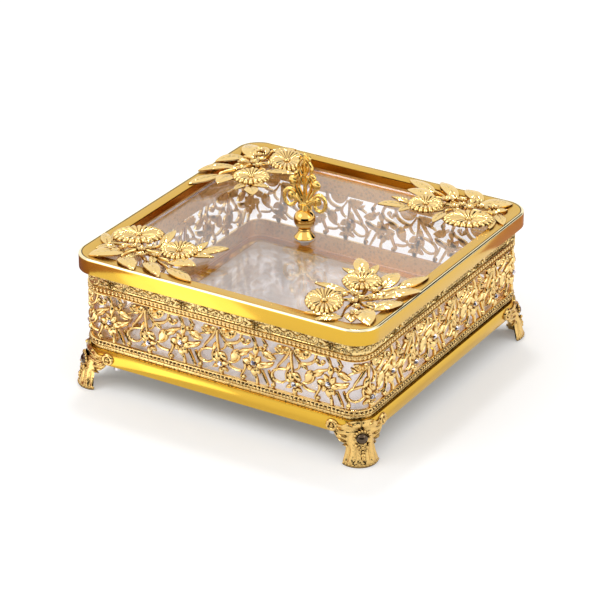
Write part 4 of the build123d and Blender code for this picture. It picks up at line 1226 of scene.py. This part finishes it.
def stage_floor():
    """Pale floor that keeps the box's real shadow, with a painted glow that turns it white away from the box
    and leaves painted shade in the box's outline near it.
    """
    bm = bmesh.new()
    bmesh.ops.create_grid(bm, x_segments=1, y_segments=1, size=FLOOR_SIZE)
    floor = add_object("studio_floor", bm)
    material, tree, shader = new_material("studio floor")
    shader.inputs["Base Color"].default_value = (0.8, 0.8, 0.8, 1)
    shader.inputs["Roughness"].default_value = 0.9
    shader.inputs["Specular IOR Level"].default_value = 0.0
    seen = seen_rays(tree)
    place = tree.nodes.new("ShaderNodeSeparateXYZ")
    tree.links.new(object_place(tree), place.inputs["Vector"])
    beside = maths(tree, "ABSOLUTE", place.outputs["X"])
    before = maths(tree, "ABSOLUTE", maths(tree, "SUBTRACT", place.outputs["Y"], FLOOR_PAINTED_GLOW_BACK))
    # Painted glow: emission that grows with distance from the box's outline, so the floor near the box stays
    # darker as painted shade.
    painted_glow = node(tree, "ShaderNodeMapRange", interpolation_type="SMOOTHSTEP", From_Min=FLOOR_PAINTED_SHADE_FADE[0],
               From_Max=FLOOR_PAINTED_SHADE_FADE[1], To_Min=FLOOR_PAINTED_GLOW[0], To_Max=FLOOR_PAINTED_GLOW[1])
    tree.links.new(maths(tree, "MAXIMUM", beside, before), painted_glow.inputs["Value"])
    shader.inputs["Emission Color"].default_value = (1, 1, 1, 1)
    tree.links.new(maths(tree, "MULTIPLY", seen, painted_glow.outputs["Result"]), shader.inputs["Emission Strength"])
    floor.data.materials.append(material)


def mirrored_card(name, azimuth, width, low, high, spot, tone):
    """Studio card that only shows in reflections; azimuth is from the front, in degrees, and sizes in mm."""
    bm = bmesh.new()
    bmesh.ops.create_grid(bm, x_segments=1, y_segments=1, size=0.5)
    turn = Matrix.Rotation(radians(azimuth), 3, "Z")
    for vert in bm.verts:
        upright = Vector((vert.co.x * width, 0, low + (vert.co.y + 0.5) * (high - low)))
        vert.co = turn @ upright + Vector((*spot, 0))
    card = add_object(name, bm)
    material, _, shader = new_material(name)
    shader.inputs["Base Color"].default_value = (*tone, 1)
    shader.inputs["Specular IOR Level"].default_value = 0.0
    shader.inputs["Roughness"].default_value = 1.0
    card.data.materials.append(material)
    card.visible_camera = False
    card.visible_diffuse = False
    card.visible_shadow = False
    card.visible_transmission = False


def lamp(name, azimuth, elevation, distance, width, height, strength, target=(0, 0, 0.06)):
    """Soft box with a given brightness, aimed at the box."""
    data = bpy.data.lights.new(name, "AREA")
    data.shape = "RECTANGLE"
    data.size, data.size_y = width, height
    data.energy = strength * pi * width * height
    light = bpy.data.objects.new(name, data)
    bpy.context.scene.collection.objects.link(light)
    a, e = radians(azimuth), radians(elevation)
    spot = Vector((sin(a) * cos(e), -cos(a) * cos(e), sin(e))) * distance + Vector(target)
    aim = (Vector(target) - spot).to_track_quat("-Z", "Y").to_matrix().to_4x4()
    light.matrix_world = Matrix.Translation(spot) @ aim
    return light


# Low strips of light on the floor, before the front left corner: name, width and strength.
STRIPS = (("low_strip", 0.035, 1.4), ("low_glow", 0.085, 1.0))
STRIP_LENGTH, STRIP_TURN, STRIP_SPOT = 0.22, -33, (-0.114, -0.222, 0.001)


def floor_strip(name, width, strength):
    """Flat strip that lies on the floor and shines up; only surfaces and mirrors see it."""
    strip = lamp(name, 0, 90, 0.001, width, STRIP_LENGTH, strength)
    turn = Matrix.Rotation(radians(STRIP_TURN), 4, "Z") @ Matrix.Rotation(pi, 4, "X")
    strip.matrix_world = Matrix.Translation(STRIP_SPOT) @ turn
    strip.visible_camera = False
    strip.visible_transmission = False


def build_world():
    """White studio, a little dimmer for the rays that light a surface."""
    world = bpy.data.worlds.new("studio")
    bpy.context.scene.world = world
    world.use_nodes = True
    tree = world.node_tree
    back = tree.nodes["Background"]
    back.inputs["Color"].default_value = (1, 1, 1, 1)
    extra = maths(tree, "MULTIPLY", seen_rays(tree), 1.0 - WORLD_LIGHT)
    tree.links.new(maths(tree, "ADD", WORLD_LIGHT, extra), back.inputs["Strength"])


# The camera, in degrees, mm and pixels: it looks at the lid's middle, moved aside and down in its own plane.
VIEW_AZIMUTH, VIEW_ELEVATION, VIEW_DISTANCE = 31.109184, 26.475962, 1705.3907
VIEW_ASIDE, VIEW_DOWN = 2.71923, 41.62263
SENSOR, FOCAL_PIXELS, IMAGE_PIXELS = 36.0, 2886.1716, 600.0


def build_camera():
    azimuth, elevation = radians(VIEW_AZIMUTH), radians(VIEW_ELEVATION)
    back = Vector((sin(azimuth) * cos(elevation), -cos(azimuth) * cos(elevation), sin(elevation)))
    right = Vector((cos(azimuth), sin(azimuth), 0))
    up = back.cross(right)
    spot = back * VIEW_DISTANCE - right * VIEW_ASIDE - up * VIEW_DOWN + Vector((0, 0, LID_TOP))
    data = bpy.data.cameras.new("camera")
    data.sensor_width = SENSOR
    data.lens = SENSOR * FOCAL_PIXELS / IMAGE_PIXELS
    data.clip_end = 50.0
    camera = bpy.data.objects.new("camera", data)
    bpy.context.scene.collection.objects.link(camera)
    turn = Matrix((right, up, back)).transposed().to_4x4()
    camera.matrix_world = Matrix.Translation(spot * MM) @ turn
    bpy.context.scene.camera = camera


# ------------------------------------------------------------------ put together
build_gallery()
build_stones()
build_rim()
build_lid_frame()
build_feet()
build_knob()
build_sprays()
for name, material in (("liner_tub", liner_clear), ("lid_pane", pane_clear), ("floor_panel", floor_pale),
                       ("foot_screws", steel), ("knob_screw", steel), ("knob_washer", steel),
                       ("knob_gasket", gasket_pale), ("pane_clips", sheet_gold),
                       ("spray_rivets", leaf_gold)):
    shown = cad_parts[name]
    shown.data.materials.clear()
    shown.data.materials.append(material)
stage_floor()
mirrored_card("flag_front", 31, 2200, 10, 600, (669.5, -1114.3), BLACK)
mirrored_card("flag_left", -90, 280, 0, 60, (-150, -85), BROWN)
mirrored_card("flag_back", 180, 200, 0, 60, (52, 165), PALE_BROWN)
mirrored_card("flag_far", 150, 640, 260, 1250, (594, 1042), BLACK)
lamp("key_softbox", -40, 42, 1.6, 1.0, 0.8, 2.1)
lamp("fill_softbox", 95, 35, 1.7, 0.9, 0.7, 1.7)
lamp("top_lamp", 214, 70, 1.6, 0.2, 0.2, 38.0)
for strip in STRIPS:
    floor_strip(*strip)
build_world()
build_camera()
bpy.context.scene.view_settings.view_transform = "Standard"
